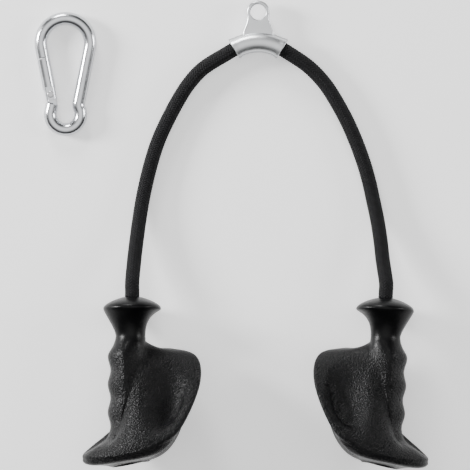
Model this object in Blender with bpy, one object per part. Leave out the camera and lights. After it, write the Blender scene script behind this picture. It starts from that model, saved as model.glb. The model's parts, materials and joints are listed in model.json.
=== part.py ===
# A triceps rope attachment, laid flat on a table with its palm rests facing up.
# A cast sleeve with an eye holds the middle of a braided rope, and each end of the rope
# runs down the core of a moulded handle to a crimped ferrule under a washer.
# A snap hook lies loose beside it.
# X points right, Y from the handles to the eye, and Z up from the table.

import math

import bmesh
import bpy
import numpy
from mathutils import Matrix, Vector

MM = 0.001

# Clearance between pieces that seat on or turn in each other, and the overrun of a cutter.
SEAT_GAP = 0.3 * MM
OVERRUN = 2.0 * MM

# Rope
ROPE_RADIUS = 6.0 * MM
ROPE_TABLE_GAP = 0.3 * MM
ROPE_STEP = 24.0 * MM

# Cast sleeve and its eye
SLEEVE_BEND_RADIUS = 37.0 * MM
SLEEVE_HALF_ANGLE = math.radians(32.0)
SLEEVE_WALL = 1.9 * MM
SLEEVE_LIP_FLARE = 0.75 * MM
SLEEVE_LIP_LENGTH = 3.2 * MM
EYE_RISE = 24.4 * MM
EYE_HOLE_RADIUS = 6.3 * MM
EYE_RING_WIDTH = 3.1 * MM
LUG_THICKNESS = 7.0 * MM
LUG_EDGE_ROUND = 1.6 * MM
LUG_BASE_HALF_WIDTH = 12.6 * MM

# Moulded handle, measured down its column from the face where the rope leaves it
HANDLE_LENGTH = 133.0 * MM
FLANGE_RADIUS = 23.5 * MM
FLANGE_RIM_DROP = 9.4 * MM
FLANGE_MOUTH_LIP = 1.0 * MM
NECK_DROP = 31.0 * MM
NECK_RADIUS = 12.1 * MM
NECK_OFFSET = 1.3 * MM
COLUMN_FINGER_RADIUS = 18.7 * MM
COLUMN_FRONT_RADIUS = 15.4 * MM
COLUMN_BACK_RADIUS = 14.8 * MM
COLUMN_PALM_RADIUS = 12.6 * MM
COLUMN_SWELL_LENGTH = 17.0 * MM
COLUMN_RIDGE = 1.8 * MM
COLUMN_RIDGE_TURN = math.radians(108)
COLUMN_RIDGE_SPREAD = math.radians(26)
FINGER_PITCH = 22.6 * MM
FINGER_FIRST_DROP = 48.0 * MM
FINGER_DEPTH = 1.1 * MM
WING_REACH = 56.0 * MM
RIM_ROUND = 2.2 * MM
BASE_RADIUS = 15.5 * MM
BASE_LIP = 1.6 * MM
BASE_SLANT = 3.2 * MM

# What the column holds
CORE_WALL = 2.6 * MM
CORE_TOP_COVER = 4.0 * MM
CORE_COLLAR_WIDTH = 2.2 * MM
CORE_COLLAR_LENGTH = 3.0 * MM
WASHER_THICKNESS = 2.0 * MM
WASHER_RIM = 4.6 * MM
CRIMP_WALL = 2.4 * MM
CRIMP_LENGTH = 13.0 * MM
CRIMP_GROOVE = 0.5 * MM
ROPE_TAIL = 1.5 * MM
PLUG_HEAD_LENGTH = 2.6 * MM
PLUG_HEAD_RIM = 2.0 * MM
PLUG_SHANK_LENGTH = 3.4 * MM
PLUG_DISH = 0.8 * MM

# Snap hook of round bar
HOOK_LENGTH = 100.0 * MM
HOOK_BAR_RADIUS = 5.0 * MM
HOOK_BOW_RADIUS = 20.0 * MM
HOOK_EYE_RADIUS = 12.3 * MM
HOOK_WAIST_HALF = 8.7 * MM
HOOK_WAIST_ROUND = 2.8 * MM
GATE_TOP_DROP = 12.0 * MM
HOOK_NECK_RUN = 2.2 * MM
GATE_PIVOT_INSET = 4.4 * MM
GATE_LAP_LENGTH = 7.0 * MM
GATE_LAP_DEPTH = 2.6 * MM
GATE_CHEEK_HALF = 4.0 * MM
TONGUE_HALF_THICKNESS = 2.0 * MM
TONGUE_HALF_WIDTH = 3.9 * MM
TONGUE_END = 3.4 * MM
TONGUE_FLAT_HALF = 2.2 * MM
TONGUE_SHOW = 2.8 * MM
RIVET_RADIUS = 1.6 * MM
RIVET_HEAD_RADIUS = 2.6 * MM
RIVET_HEAD_HEIGHT = 0.5 * MM
PLUNGER_RADIUS = 1.9 * MM
PLUNGER_HEAD_LENGTH = 2.2 * MM
PLUNGER_STEM_RADIUS = 0.7 * MM
PLUNGER_STEM_LENGTH = 3.0 * MM
SPRING_WIRE_RADIUS = 0.26 * MM
SPRING_PITCH = 1.7 * MM
GATE_BORE_COVER = 4.0 * MM

# Places on the table. The eye's centre is the layout's zero in X and Y.
LEFT_HANDLE_PLACE = (-101.9 * MM, -230.6 * MM)
RIGHT_HANDLE_PLACE = (102.9 * MM, -231.6 * MM)
LEFT_LEAN = math.radians(0.0)
RIGHT_LEAN = math.radians(-2.5)
LEFT_SWIVEL = math.radians(0.0)
RIGHT_SWIVEL = math.radians(0.0)
HOOK_PLACE = (-156.0 * MM, -25.0 * MM)

# Rope routes by hand, from near the sleeve's mouth to near the handle, as X and Y.
LEFT_ROUTE = [
    (-38.9 * MM, -41.6 * MM), (-47.6 * MM, -48.2 * MM), (-56.8 * MM, -58.8 * MM),
    (-64.6 * MM, -71.0 * MM), (-73.2 * MM, -87.2 * MM), (-80.6 * MM, -103.4 * MM),
    (-86.0 * MM, -119.6 * MM), (-90.2 * MM, -135.8 * MM), (-93.6 * MM, -152.0 * MM),
    (-96.2 * MM, -168.2 * MM), (-98.4 * MM, -184.4 * MM), (-100.3 * MM, -200.6 * MM),
]
RIGHT_ROUTE = [
    (36.9 * MM, -41.2 * MM), (45.4 * MM, -48.4 * MM), (54.6 * MM, -58.8 * MM),
    (62.5 * MM, -71.0 * MM), (71.4 * MM, -87.2 * MM), (78.6 * MM, -103.4 * MM),
    (84.6 * MM, -119.6 * MM), (89.4 * MM, -135.8 * MM), (93.0 * MM, -152.0 * MM),
    (96.4 * MM, -168.2 * MM), (98.9 * MM, -184.4 * MM), (100.7 * MM, -200.6 * MM),
]
# How far the rope's centre has climbed from the table at each point of a route, as a share
# of the climb to the handle, and at its first points as a share of the climb to the sleeve.
SLEEVE_CLIMB_SHARES = [0.45, 0.15]
HANDLE_CLIMB_SHARES = [0.01, 0.06, 0.18, 0.38, 0.60]

# The palm rest's rim, the column's foot and how the dish sinks, at every 20 degrees round the
# column from the palm side to the front. Each row: the rim's reach as a share of the wing's
# reach, its drop and the foot's drop as shares of the handle's length, how far the dish
# follows the column down, as the same share, the turn-up of the rim in degrees, and how many
# degrees the rim's point lies on round the column.
RIM_SHARES = [
    (0.945, 0.376, 0.268, 0.01, -45.0, -2.0),
    (1.012, 0.570, 0.275, 0.07, -28.0, -2.0),
    (0.872, 0.835, 0.300, 0.13, -30.0, 0.0),
    (0.690, 0.945, 0.355, 0.19, -36.0, 0.0),
    (0.605, 0.992, 0.470, 0.23, -36.0, 0.0),
    (0.565, 1.008, 0.660, 0.18, -30.0, 0.0),
    (0.572, 1.020, 0.850, 0.04, -20.0, 0.0),
    (0.622, 1.022, 0.856, 0.04, -10.0, 0.0),
    (0.700, 1.008, 0.855, 0.04, -4.0, 0.0),
    (0.708, 0.975, 0.838, 0.03, 0.0, 0.0),
    (0.598, 0.900, 0.797, 0.03, 5.0, 0.0),
    (0.505, 0.832, 0.737, 0.03, 6.0, 2.0),
    (0.455, 0.755, 0.660, 0.03, 5.0, 5.0),
    (0.415, 0.636, 0.551, 0.02, 5.0, 9.0),
    (0.385, 0.497, 0.420, 0.02, 0.0, 13.0),
    (0.365, 0.372, 0.315, 0.01, -20.0, 15.0),
    (0.400, 0.328, 0.268, 0.00, -45.0, 12.0),
    (0.640, 0.324, 0.264, 0.00, -50.0, 4.0),
]
# How far the rim's lip wraps before the hull starts, how much less on the side that lies on the
# table, and how far that side is turned from square.
HULL_TURN = math.radians(150)
HULL_UNDER_TURN = math.radians(48)
HULL_UNDER_SHIFT = math.radians(20)
# How far the hull's curve runs on from the rim and comes in at the base, as shares of its
# span, and how much further both go on the side that lies on the table.
HULL_LEAVE_SHARE = 0.27
HULL_ARRIVE_SHARE = 0.34
HULL_DEPTH_SHARE = 0.02
# Which way the palm rest opens, in the handle's own axes.
PALM_OPENING = Vector((-0.40, 0.58, 0.71)).normalized()
# The column, the dish and the rim flow into each other like a stretched skin. How often and how
# far the skin is eased, where that sets in on the column's swell, how near it comes to the rim,
# and how far it goes round the column to the front and to the back.
EASE_PASSES = 28
EASE_STEP_SHARE = 0.8
EASE_SWELL_SHARE = 0.3
EASE_EDGE_SHARE = 0.45
EASE_FRONT_TURN = math.radians(112)
EASE_FRONT_FADE = math.radians(45)
EASE_BACK_TURN = math.radians(100)
EASE_BACK_FADE = math.radians(50)
# The hollow of the palm: its depth, and its middle and its reach, across as shares of the wing's
# reach and down as shares of the handle's length.
PALM_DEPTH = 9.0 * MM
PALM_MIDDLE_SHARES = (0.535, 0.617)
PALM_SPREAD_SHARES = (0.43, 0.256)

# Facets
AROUND_HANDLE = 40
ANGLE_CROWDING_SHARE = 0.45
FLANGE_STEPS = 4
UNDER_FLANGE_STEPS = 5
COLUMN_STEPS = 17
DISH_STEPS = 6
RIM_STEPS = 3
HULL_STEPS = 7
AROUND_SMALL = 20
AROUND_BAR = 16
AROUND_SLEEVE = 24
AROUND_ROPE = 12

# Derived sizes
ROPE_HOLE_RADIUS = ROPE_RADIUS + SEAT_GAP
SLEEVE_RADIUS = ROPE_HOLE_RADIUS + SLEEVE_WALL
SLEEVE_LIP_RADIUS = SLEEVE_RADIUS + SLEEVE_LIP_FLARE
EYE_RING_RADIUS = EYE_HOLE_RADIUS + EYE_RING_WIDTH
SLEEVE_HEIGHT = SLEEVE_LIP_RADIUS
ROPE_LIE_HEIGHT = ROPE_RADIUS + ROPE_TABLE_GAP
CORE_RADIUS = ROPE_HOLE_RADIUS + CORE_WALL
COLLAR_RADIUS = CORE_RADIUS + CORE_COLLAR_WIDTH
POCKET_RADIUS = COLLAR_RADIUS + SEAT_GAP
WASHER_RADIUS = ROPE_HOLE_RADIUS + WASHER_RIM
CRIMP_RADIUS = ROPE_HOLE_RADIUS + CRIMP_WALL
PLUG_HEAD_RADIUS = POCKET_RADIUS + PLUG_HEAD_RIM
PLUG_SEAT_DROP = HANDLE_LENGTH - PLUG_HEAD_LENGTH - SEAT_GAP
PLUG_SHANK_TOP = PLUG_SEAT_DROP + SEAT_GAP - PLUG_SHANK_LENGTH
ROPE_END_DROP = PLUG_SHANK_TOP - SEAT_GAP
CRIMP_BOTTOM_DROP = ROPE_END_DROP - ROPE_TAIL
CRIMP_TOP_DROP = CRIMP_BOTTOM_DROP - CRIMP_LENGTH
WASHER_TOP_DROP = CRIMP_TOP_DROP - SEAT_GAP - WASHER_THICKNESS
CORE_BOTTOM_DROP = WASHER_TOP_DROP - SEAT_GAP
HOOK_EYE_DROP = HOOK_LENGTH - HOOK_BOW_RADIUS - HOOK_EYE_RADIUS - 2 * HOOK_BAR_RADIUS
HOOK_LIMB_LEAN = math.asin((HOOK_BOW_RADIUS - HOOK_WAIST_HALF) / HOOK_EYE_DROP)
HOOK_LIMB_LENGTH = (
    HOOK_EYE_DROP * math.cos(HOOK_LIMB_LEAN)
    - math.sqrt(HOOK_EYE_RADIUS ** 2 - HOOK_WAIST_HALF ** 2)
)
GATE_TOP_ALONG = (
    GATE_TOP_DROP - HOOK_BOW_RADIUS * math.sin(HOOK_LIMB_LEAN)
) / math.cos(HOOK_LIMB_LEAN)
GATE_LENGTH = HOOK_LIMB_LENGTH - GATE_TOP_ALONG - TONGUE_SHOW - HOOK_NECK_RUN
GATE_PIVOT_ALONG = GATE_LENGTH - GATE_PIVOT_INSET
GATE_SEAM_ALONG = math.sqrt((GATE_PIVOT_ALONG - SEAT_GAP) ** 2 - HOOK_BAR_RADIUS ** 2)
GATE_CHEEK_LENGTH = GATE_PIVOT_INSET + OVERRUN
GATE_SLOT_TOP = math.hypot(TONGUE_END, TONGUE_FLAT_HALF) + SEAT_GAP
PLUNGER_FOOT = TONGUE_END + SEAT_GAP
GATE_SLOT_HALF = TONGUE_HALF_THICKNESS + SEAT_GAP
GATE_BORE_RADIUS = PLUNGER_RADIUS + SEAT_GAP
SPRING_COIL_RADIUS = PLUNGER_RADIUS - SPRING_WIRE_RADIUS
GATE_BORE_TOP = GATE_PIVOT_ALONG - GATE_BORE_COVER
SPRING_LENGTH = GATE_BORE_TOP - PLUNGER_FOOT - PLUNGER_HEAD_LENGTH - 2 * SEAT_GAP
SPRING_TURNS = max(1, int(SPRING_LENGTH / SPRING_PITCH))


def clear_scene():
    for thing in list(bpy.data.objects):
        bpy.data.objects.remove(thing)


# Materials

def material(name, colour, roughness, metallic):
    made = bpy.data.materials.new(name)
    made.use_nodes = True
    shader = made.node_tree.nodes["Principled BSDF"]
    shader.inputs["Base Color"].default_value = (*colour, 1.0)
    shader.inputs["Roughness"].default_value = roughness
    shader.inputs["Metallic"].default_value = metallic
    return made


# Building blocks

def add_object(name, mesh, finish, parent, place=None):
    thing = bpy.data.objects.new(name, mesh)
    bpy.context.scene.collection.objects.link(thing)
    if finish:
        mesh.materials.append(finish)
    thing.parent = parent
    if place is not None:
        thing.matrix_local = place
    return thing


def add_empty(name, parent, place):
    thing = bpy.data.objects.new(name, None)
    bpy.context.scene.collection.objects.link(thing)
    thing.parent = parent
    thing.matrix_local = place
    return thing


def finish_mesh(name, shape, sharp_angle=math.radians(40)):
    bmesh.ops.recalc_face_normals(shape, faces=shape.faces)
    mesh = bpy.data.meshes.new(name)
    shape.to_mesh(mesh)
    shape.free()
    mesh.shade_smooth()
    mesh.set_sharp_from_angle(angle=sharp_angle)
    return mesh


def loft(name, rings, ends="cap", sharp_angle=math.radians(40)):
    """A solid skinned over rings of points: ends is cap, or join for a loop of rings."""
    shape = bmesh.new()
    rows = [[shape.verts.new(point) for point in ring] for ring in rings]
    pairs = list(zip(rows, rows[1:]))
    if ends == "join":
        pairs.append((rows[-1], rows[0]))
    for low, high in pairs:
        for i in range(len(low)):
            j = (i + 1) % len(low)
            shape.faces.new((low[i], low[j], high[j], high[i]))
    if ends == "cap":
        shape.faces.new(rows[0])
        shape.faces.new(rows[-1])
    return finish_mesh(name, shape, sharp_angle)


def turned(name, profile, steps=AROUND_SMALL, closed=True):
    """A profile of (radius, height) points spun round the Y axis."""
    shape = bmesh.new()
    points = [shape.verts.new((radius, height, 0)) for radius, height in profile]
    edges = [shape.edges.new(pair) for pair in zip(points, points[1:])]
    if closed:
        edges.append(shape.edges.new((points[-1], points[0])))
    bmesh.ops.spin(
        shape, geom=points + edges, cent=(0, 0, 0), axis=(0, 1, 0),
        angle=math.tau, steps=steps, use_merge=True,
    )
    bmesh.ops.remove_doubles(shape, verts=shape.verts, dist=SEAT_GAP / 100)
    return finish_mesh(name, shape)


def bezier(start, leave, arrive, end, share):
    rest = 1 - share
    return (
        start * rest ** 3 + leave * (3 * rest * rest * share)
        + arrive * (3 * rest * share * share) + end * share ** 3
    )


def smooth_step(value):
    value = min(1, max(0, value))
    return value * value * (3 - 2 * value)


def catmull(before, start, end, after, share):
    return 0.5 * (
        2 * start + (end - before) * share
        + (2 * before - 5 * start + 4 * end - after) * share ** 2
        + (3 * start - before - 3 * end + after) * share ** 3
    )


def smooth_line(points, step):
    """Points about a step apart on a smooth curve through the given points."""
    line = []
    last = len(points) - 1
    for i in range(last):
        before = points[i - 1] if i else 2 * points[0] - points[1]
        after = points[i + 2] if i + 2 <= last else 2 * points[last] - points[last - 1]
        pieces = max(1, round((points[i + 1] - points[i]).length / step))
        for k in range(pieces):
            line.append(catmull(before, points[i], points[i + 1], after, k / pieces))
    line.append(points[last].copy())
    return line


def rings_along(line, radii, sides, upright):
    """Rings square to a flat line of points: upright is the normal of its plane."""
    rings = []
    for i, point in enumerate(line):
        ahead = line[min(i + 1, len(line) - 1)]
        behind = line[max(i - 1, 0)]
        along = (ahead - behind).normalized()
        across = along.cross(upright).normalized()
        rings.append([
            point + (across * math.cos(turn) + upright * math.sin(turn)) * radii[i]
            for turn in (math.tau * k / sides for k in range(sides))
        ])
    return rings


def box_mesh(name, low, high):
    shape = bmesh.new()
    size = [high[i] - low[i] for i in range(3)]
    middle = [(high[i] + low[i]) / 2 for i in range(3)]
    bmesh.ops.create_cube(
        shape, size=1, matrix=Matrix.Translation(middle) @ Matrix.Diagonal((*size, 1))
    )
    return finish_mesh(name, shape)


def cut_with(target, cutter, operation="DIFFERENCE"):
    """Keeps the cutter as a hidden guide and cuts or joins the target with it."""
    cutter.hide_render = True
    cutter.display_type = "WIRE"
    change = target.modifiers.new(cutter.name, "BOOLEAN")
    change.operation = operation
    change.object = cutter


# Cast sleeve with its eye. The plane of the rope's bend is the XY plane.

def sleeve_point(angle, radius=SLEEVE_BEND_RADIUS):
    centre_drop = EYE_RISE + SLEEVE_BEND_RADIUS
    return Vector((radius * math.sin(angle), radius * math.cos(angle) - centre_drop, 0))


def sleeve_line(half_angle, steps):
    return [sleeve_point(half_angle * (2 * k / steps - 1)) for k in range(steps + 1)]


def lug_outline():
    """The lug's edge: the ring over the eye, then a hollow flare to the sleeve."""
    ring_stop = math.radians(20)
    arc_steps = 14
    outline = []
    for k in range(arc_steps + 1):
        turn = -ring_stop + (math.pi + 2 * ring_stop) * k / arc_steps
        outline.append(Vector((math.cos(turn), math.sin(turn), 0)) * EYE_RING_RADIUS)
    foot = Vector((-LUG_BASE_HALF_WIDTH, SLEEVE_RADIUS - EYE_RISE, 0))
    waist = outline[-1]
    flare = Vector((0, -EYE_RING_RADIUS, 0))
    rise = (foot.y - waist.y) / 2
    left = [
        bezier(waist, waist + flare, foot + Vector((-rise / 3, -rise, 0)), foot, k / 5)
        for k in range(1, 6)
    ]
    under = Vector((foot.x, -EYE_RISE, 0))
    right = [Vector((-point.x, point.y, 0)) for point in reversed(left + [under])]
    return outline + left + [under] + right


def eye_sleeve(parent, finish):
    steps = 16
    lip_angle = SLEEVE_LIP_LENGTH / SLEEVE_BEND_RADIUS
    angles = [-SLEEVE_HALF_ANGLE, -SLEEVE_HALF_ANGLE + lip_angle / 2]
    inner = SLEEVE_HALF_ANGLE - lip_angle
    angles += [inner * (2 * k / steps - 1) for k in range(steps + 1)]
    angles += [SLEEVE_HALF_ANGLE - lip_angle / 2, SLEEVE_HALF_ANGLE]
    radii = [SLEEVE_LIP_RADIUS, SLEEVE_LIP_RADIUS]
    radii += [SLEEVE_RADIUS] * (steps + 1)
    radii += [SLEEVE_LIP_RADIUS, SLEEVE_LIP_RADIUS]
    upright = Vector((0, 0, 1))
    tube = rings_along([sleeve_point(a) for a in angles], radii, AROUND_SLEEVE, upright)
    sleeve = add_object("eye_sleeve", loft("eye_sleeve", tube), finish, parent)

    lug = bmesh.new()
    edge = [lug.verts.new(p - upright * (LUG_THICKNESS / 2)) for p in lug_outline()]
    face = lug.faces.new(edge)
    raised = bmesh.ops.extrude_face_region(lug, geom=[face])
    top = [v for v in raised["geom"] if isinstance(v, bmesh.types.BMVert)]
    bmesh.ops.translate(lug, verts=top, vec=upright * LUG_THICKNESS)
    lug_object = add_object("lug_blank", finish_mesh("lug_blank", lug), None, parent)
    rounding = lug_object.modifiers.new("edge_round", "BEVEL")
    rounding.width = LUG_EDGE_ROUND
    rounding.segments = 2
    rounding.limit_method = "ANGLE"
    cut_with(sleeve, lug_object, "UNION")

    hole = turned("eye_hole", [
        (0, -LUG_THICKNESS), (EYE_HOLE_RADIUS, -LUG_THICKNESS),
        (EYE_HOLE_RADIUS, LUG_THICKNESS), (0, LUG_THICKNESS),
    ], AROUND_SLEEVE, closed=False)
    turn_up = Matrix.Rotation(math.pi / 2, 4, "X")
    cut_with(sleeve, add_object("eye_hole", hole, None, parent, turn_up))

    over = OVERRUN / SLEEVE_BEND_RADIUS
    bore_line = sleeve_line(SLEEVE_HALF_ANGLE + over, steps)
    bore = rings_along(bore_line, [ROPE_HOLE_RADIUS] * len(bore_line), AROUND_ROPE * 2, upright)
    cut_with(sleeve, add_object("rope_channel", loft("rope_channel", bore), None, parent))
    return sleeve


# Rope

def rope_piece(name, line, finish, parent):
    curve = bpy.data.curves.new(name, "CURVE")
    curve.dimensions = "3D"
    curve.bevel_depth = ROPE_RADIUS
    curve.bevel_resolution = AROUND_ROPE // 4 - 1
    curve.use_fill_caps = True
    curve.materials.append(finish)
    spline = curve.splines.new("POLY")
    spline.points.add(len(line) - 1)
    for point, place in zip(spline.points, line):
        point.co = (*place, 1)
    thing = bpy.data.objects.new(name, curve)
    bpy.context.scene.collection.objects.link(thing)
    thing.parent = parent
    return thing


def held_rope_line():
    """The rope inside the sleeve, with short last runs square to the mouths."""
    square_run = SEAT_GAP / SLEEVE_BEND_RADIUS
    inner = sleeve_line(SLEEVE_HALF_ANGLE - square_run, 10)
    return [sleeve_point(-SLEEVE_HALF_ANGLE)] + inner + [sleeve_point(SLEEVE_HALF_ANGLE)]


def route_line(side, route, handle_top, handle_up):
    """The free rope's centre, from the sleeve's mouth to the handle's face."""
    mouth = sleeve_point(side * SLEEVE_HALF_ANGLE)
    out = Vector((side * math.cos(SLEEVE_HALF_ANGLE), -math.sin(SLEEVE_HALF_ANGLE), 0))
    raise_sleeve = Vector((0, 0, SLEEVE_HEIGHT))
    start = mouth + out * SEAT_GAP + raise_sleeve
    end = handle_top + handle_up * SEAT_GAP
    points = [start, start + out * ROPE_RADIUS]
    for i, (x, y) in enumerate(route):
        height = ROPE_LIE_HEIGHT
        if i < len(SLEEVE_CLIMB_SHARES):
            height += (SLEEVE_HEIGHT - ROPE_LIE_HEIGHT) * SLEEVE_CLIMB_SHARES[i]
        late = i - (len(route) - len(HANDLE_CLIMB_SHARES))
        if late >= 0:
            height += (end.z - ROPE_LIE_HEIGHT) * HANDLE_CLIMB_SHARES[late]
        points.append(Vector((x, y, height)))
    points += [end + handle_up * (2 * ROPE_RADIUS), end + handle_up * ROPE_RADIUS, end]
    return smooth_line(points, ROPE_STEP)


# Moulded handle. Its Y axis runs up the column to the rope, +X is the palm side,
# and +Z faces away from the table.

def round_table(column, angle):
    """A column of the rim's table at any angle, on a smooth closed curve."""
    values = [row[column] for row in RIM_SHARES]
    place = angle / math.tau * len(values)
    i = math.floor(place)
    near = [values[(i + k) % len(values)] for k in (-1, 0, 1, 2)]
    return catmull(*near, place - i)


def radial(angle):
    return Vector((math.cos(angle), 0, math.sin(angle)))


def rim_point(angle):
    drop = round_table(1, angle) * HANDLE_LENGTH
    turned_on = angle + math.radians(round_table(5, angle))
    return radial(turned_on) * (round_table(0, angle) * WING_REACH) - Vector((0, drop, 0))


def column_radius(angle, drop):
    """The column's radius at an angle and a drop below the rope's face."""
    swell = smooth_step((drop - NECK_DROP) / COLUMN_SWELL_LENGTH)
    wave = math.cos(math.tau * (drop - FINGER_FIRST_DROP) / FINGER_PITCH)
    finger = COLUMN_FINGER_RADIUS + FINGER_DEPTH * wave
    side = COLUMN_PALM_RADIUS if math.cos(angle) > 0 else finger
    face = COLUMN_FRONT_RADIUS if math.sin(angle) > 0 else COLUMN_BACK_RADIUS
    full = side * math.cos(angle) ** 2 + face * math.sin(angle) ** 2
    off_ridge = (angle - COLUMN_RIDGE_TURN) / COLUMN_RIDGE_SPREAD
    full += COLUMN_RIDGE * math.exp(-off_ridge * off_ridge)
    neck = NECK_RADIUS - NECK_OFFSET * math.cos(angle)
    return neck + (full - neck) * swell


def flange_rings(angles):
    """From the rope's hole over the flange and down to the neck."""
    mouth = Vector((ROPE_HOLE_RADIUS + FLANGE_MOUTH_LIP, 0))
    rim = Vector((FLANGE_RADIUS, FLANGE_RIM_DROP))
    neck = Vector((NECK_RADIUS, NECK_DROP))
    across = Vector((FLANGE_RADIUS - mouth.x, 0))
    down = Vector((0, FLANGE_RIM_DROP))
    rings = []
    for k in range(FLANGE_STEPS + 1):
        spot = bezier(
            mouth, mouth + across * 0.3 + down * 0.12, rim - down * 0.45, rim, k / FLANGE_STEPS
        )
        rings.append([radial(a) * spot.x - Vector((0, spot.y, 0)) for a in angles])
    fall = Vector((0, NECK_DROP - FLANGE_RIM_DROP))
    step_in = Vector((FLANGE_RADIUS - NECK_RADIUS, 0))
    for k in range(1, UNDER_FLANGE_STEPS + 1):
        share = k / UNDER_FLANGE_STEPS
        finger_side = bezier(rim, rim + fall * 0.14, neck + step_in * 0.1 - fall * 0.33, neck, share)
        palm_side = bezier(rim, rim + fall * 0.12, neck - fall * 0.85, neck, share)
        ring = []
        for a in angles:
            spot = palm_side.lerp(finger_side, (1 - math.cos(a)) / 2)
            off = NECK_OFFSET * smooth_step(share) * math.cos(a)
            ring.append(radial(a) * (spot.x - off) - Vector((0, spot.y, 0)))
        rings.append(ring)
    return rings


def palm_columns(angle):
    """One line of points down the handle at an angle: column, dish, rim and hull."""
    nudge = math.radians(1)
    rim = rim_point(angle)
    tangent = (rim_point(angle + nudge) - rim_point(angle - nudge)).normalized()
    outward = PALM_OPENING.cross(tangent).normalized()
    turn_up = math.radians(round_table(4, angle))
    rise = outward * math.cos(turn_up) + PALM_OPENING * math.sin(turn_up)
    face = PALM_OPENING * math.cos(turn_up) - outward * math.sin(turn_up)
    core = rim - rise * RIM_ROUND

    foot_drop = round_table(2, angle) * HANDLE_LENGTH
    line = []
    for k in range(1, COLUMN_STEPS + 1):
        drop = NECK_DROP + (foot_drop - NECK_DROP) * k / COLUMN_STEPS
        line.append(radial(angle) * column_radius(angle, drop) - Vector((0, drop, 0)))

    foot = line[-1]
    sink = Vector((0, -round_table(3, angle) * HANDLE_LENGTH, 0))
    inner_edge = core + face * RIM_ROUND
    reach = (inner_edge - foot).length
    for k in range(1, DISH_STEPS + 1):
        line.append(bezier(
            foot, foot + sink, inner_edge - rise * (reach * 0.45), inner_edge, k / DISH_STEPS
        ))

    under = smooth_step(-math.sin(angle - HULL_UNDER_SHIFT))
    wrap = HULL_TURN - HULL_UNDER_TURN * under + turn_up
    for k in range(1, RIM_STEPS + 1):
        turn = wrap * k / RIM_STEPS
        line.append(core + (face * math.cos(turn) + rise * math.sin(turn)) * RIM_ROUND)

    leave = rise * math.cos(wrap) - face * math.sin(wrap)
    base_drop = HANDLE_LENGTH + BASE_LIP - BASE_SLANT * math.cos(angle)
    base = radial(angle) * BASE_RADIUS - Vector((0, base_drop, 0))
    start = line[-1]
    span = (base - start).length
    arrive = (radial(angle) + Vector((0, 0.35 + 0.3 * math.cos(angle), 0))).normalized()
    depth = HULL_DEPTH_SHARE * under
    for k in range(1, HULL_STEPS + 1):
        line.append(bezier(
            start, start + leave * (span * (HULL_LEAVE_SHARE + depth)),
            base + arrive * (span * (HULL_ARRIVE_SHARE + depth)), base, k / HULL_STEPS,
        ))
    return line


def ease_share(angle, drop, step):
    """How far the skin may move at a step down a column: none at the neck, the rim and the back."""
    angle = (angle + math.pi) % math.tau - math.pi
    if angle > 0:
        share = smooth_step((EASE_FRONT_TURN - angle) / EASE_FRONT_FADE)
    else:
        share = smooth_step((EASE_BACK_TURN + angle) / EASE_BACK_FADE)
    if step < COLUMN_STEPS:
        swell = (drop - NECK_DROP) / COLUMN_SWELL_LENGTH
        share *= smooth_step((swell - EASE_SWELL_SHARE) / (1 - EASE_SWELL_SHARE))
    steps_left = COLUMN_STEPS + DISH_STEPS - 1 - step
    return share * smooth_step(steps_left / (EASE_EDGE_SHARE * DISH_STEPS))


def eased(columns, angles):
    """Lets the column flow into the dish like a stretched skin, and hollows the palm."""
    grid = numpy.array([[tuple(point) for point in line] for line in columns])
    shares = numpy.array([
        [ease_share(angle, -point.y, step) for step, point in enumerate(line)]
        for angle, line in zip(angles, columns)
    ])[..., None]
    for _ in range(EASE_PASSES):
        pull, total = 0, 0
        for way, axis in ((1, 0), (-1, 0), (1, 1), (-1, 1)):
            other = numpy.roll(grid, way, axis)
            nearness = 1 / (numpy.linalg.norm(other - grid, axis=2, keepdims=True) + SEAT_GAP)
            pull = pull + other * nearness
            total = total + nearness
        grid += (pull / total - grid) * shares * EASE_STEP_SHARE
    across = (grid[..., 0] / WING_REACH - PALM_MIDDLE_SHARES[0]) / PALM_SPREAD_SHARES[0]
    down = (-grid[..., 1] / HANDLE_LENGTH - PALM_MIDDLE_SHARES[1]) / PALM_SPREAD_SHARES[1]
    hollow = numpy.clip(1 - across ** 2 - down ** 2, 0, 1)[..., None] ** 2
    grid -= numpy.array(PALM_OPENING) * PALM_DEPTH * hollow * (shares > 0)
    return [[Vector(point) for point in line] for line in grid.tolist()]


def bore_profile():
    """The handle's inside as (radius, drop), from the plug's seat up to the rope's hole."""
    return [
        (PLUG_HEAD_RADIUS + SEAT_GAP, HANDLE_LENGTH),
        (PLUG_HEAD_RADIUS + SEAT_GAP, PLUG_SEAT_DROP),
        (POCKET_RADIUS, PLUG_SEAT_DROP),
        (POCKET_RADIUS, CORE_BOTTOM_DROP - CORE_COLLAR_LENGTH - SEAT_GAP),
        (CORE_RADIUS + SEAT_GAP, CORE_BOTTOM_DROP - CORE_COLLAR_LENGTH - SEAT_GAP),
        (CORE_RADIUS + SEAT_GAP, CORE_TOP_COVER),
        (ROPE_HOLE_RADIUS, CORE_TOP_COVER),
        (ROPE_HOLE_RADIUS, 0),
    ]


def handle_angles():
    steps = [math.tau * k / AROUND_HANDLE for k in range(AROUND_HANDLE)]
    return [a - ANGLE_CROWDING_SHARE * math.sin(a) for a in steps]


def handle_mesh(name, side):
    angles = handle_angles()
    rings = flange_rings(angles)
    columns = eased([palm_columns(a) for a in angles], angles)
    rings += [list(ring) for ring in zip(*columns)]
    for radius, drop in bore_profile():
        rings.append([radial(a) * radius - Vector((0, drop, 0)) for a in angles])
    mirrored = [[Vector((p.x * side, p.y, p.z)) for p in ring] for ring in rings]
    return loft(name, mirrored, ends="join")


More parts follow.
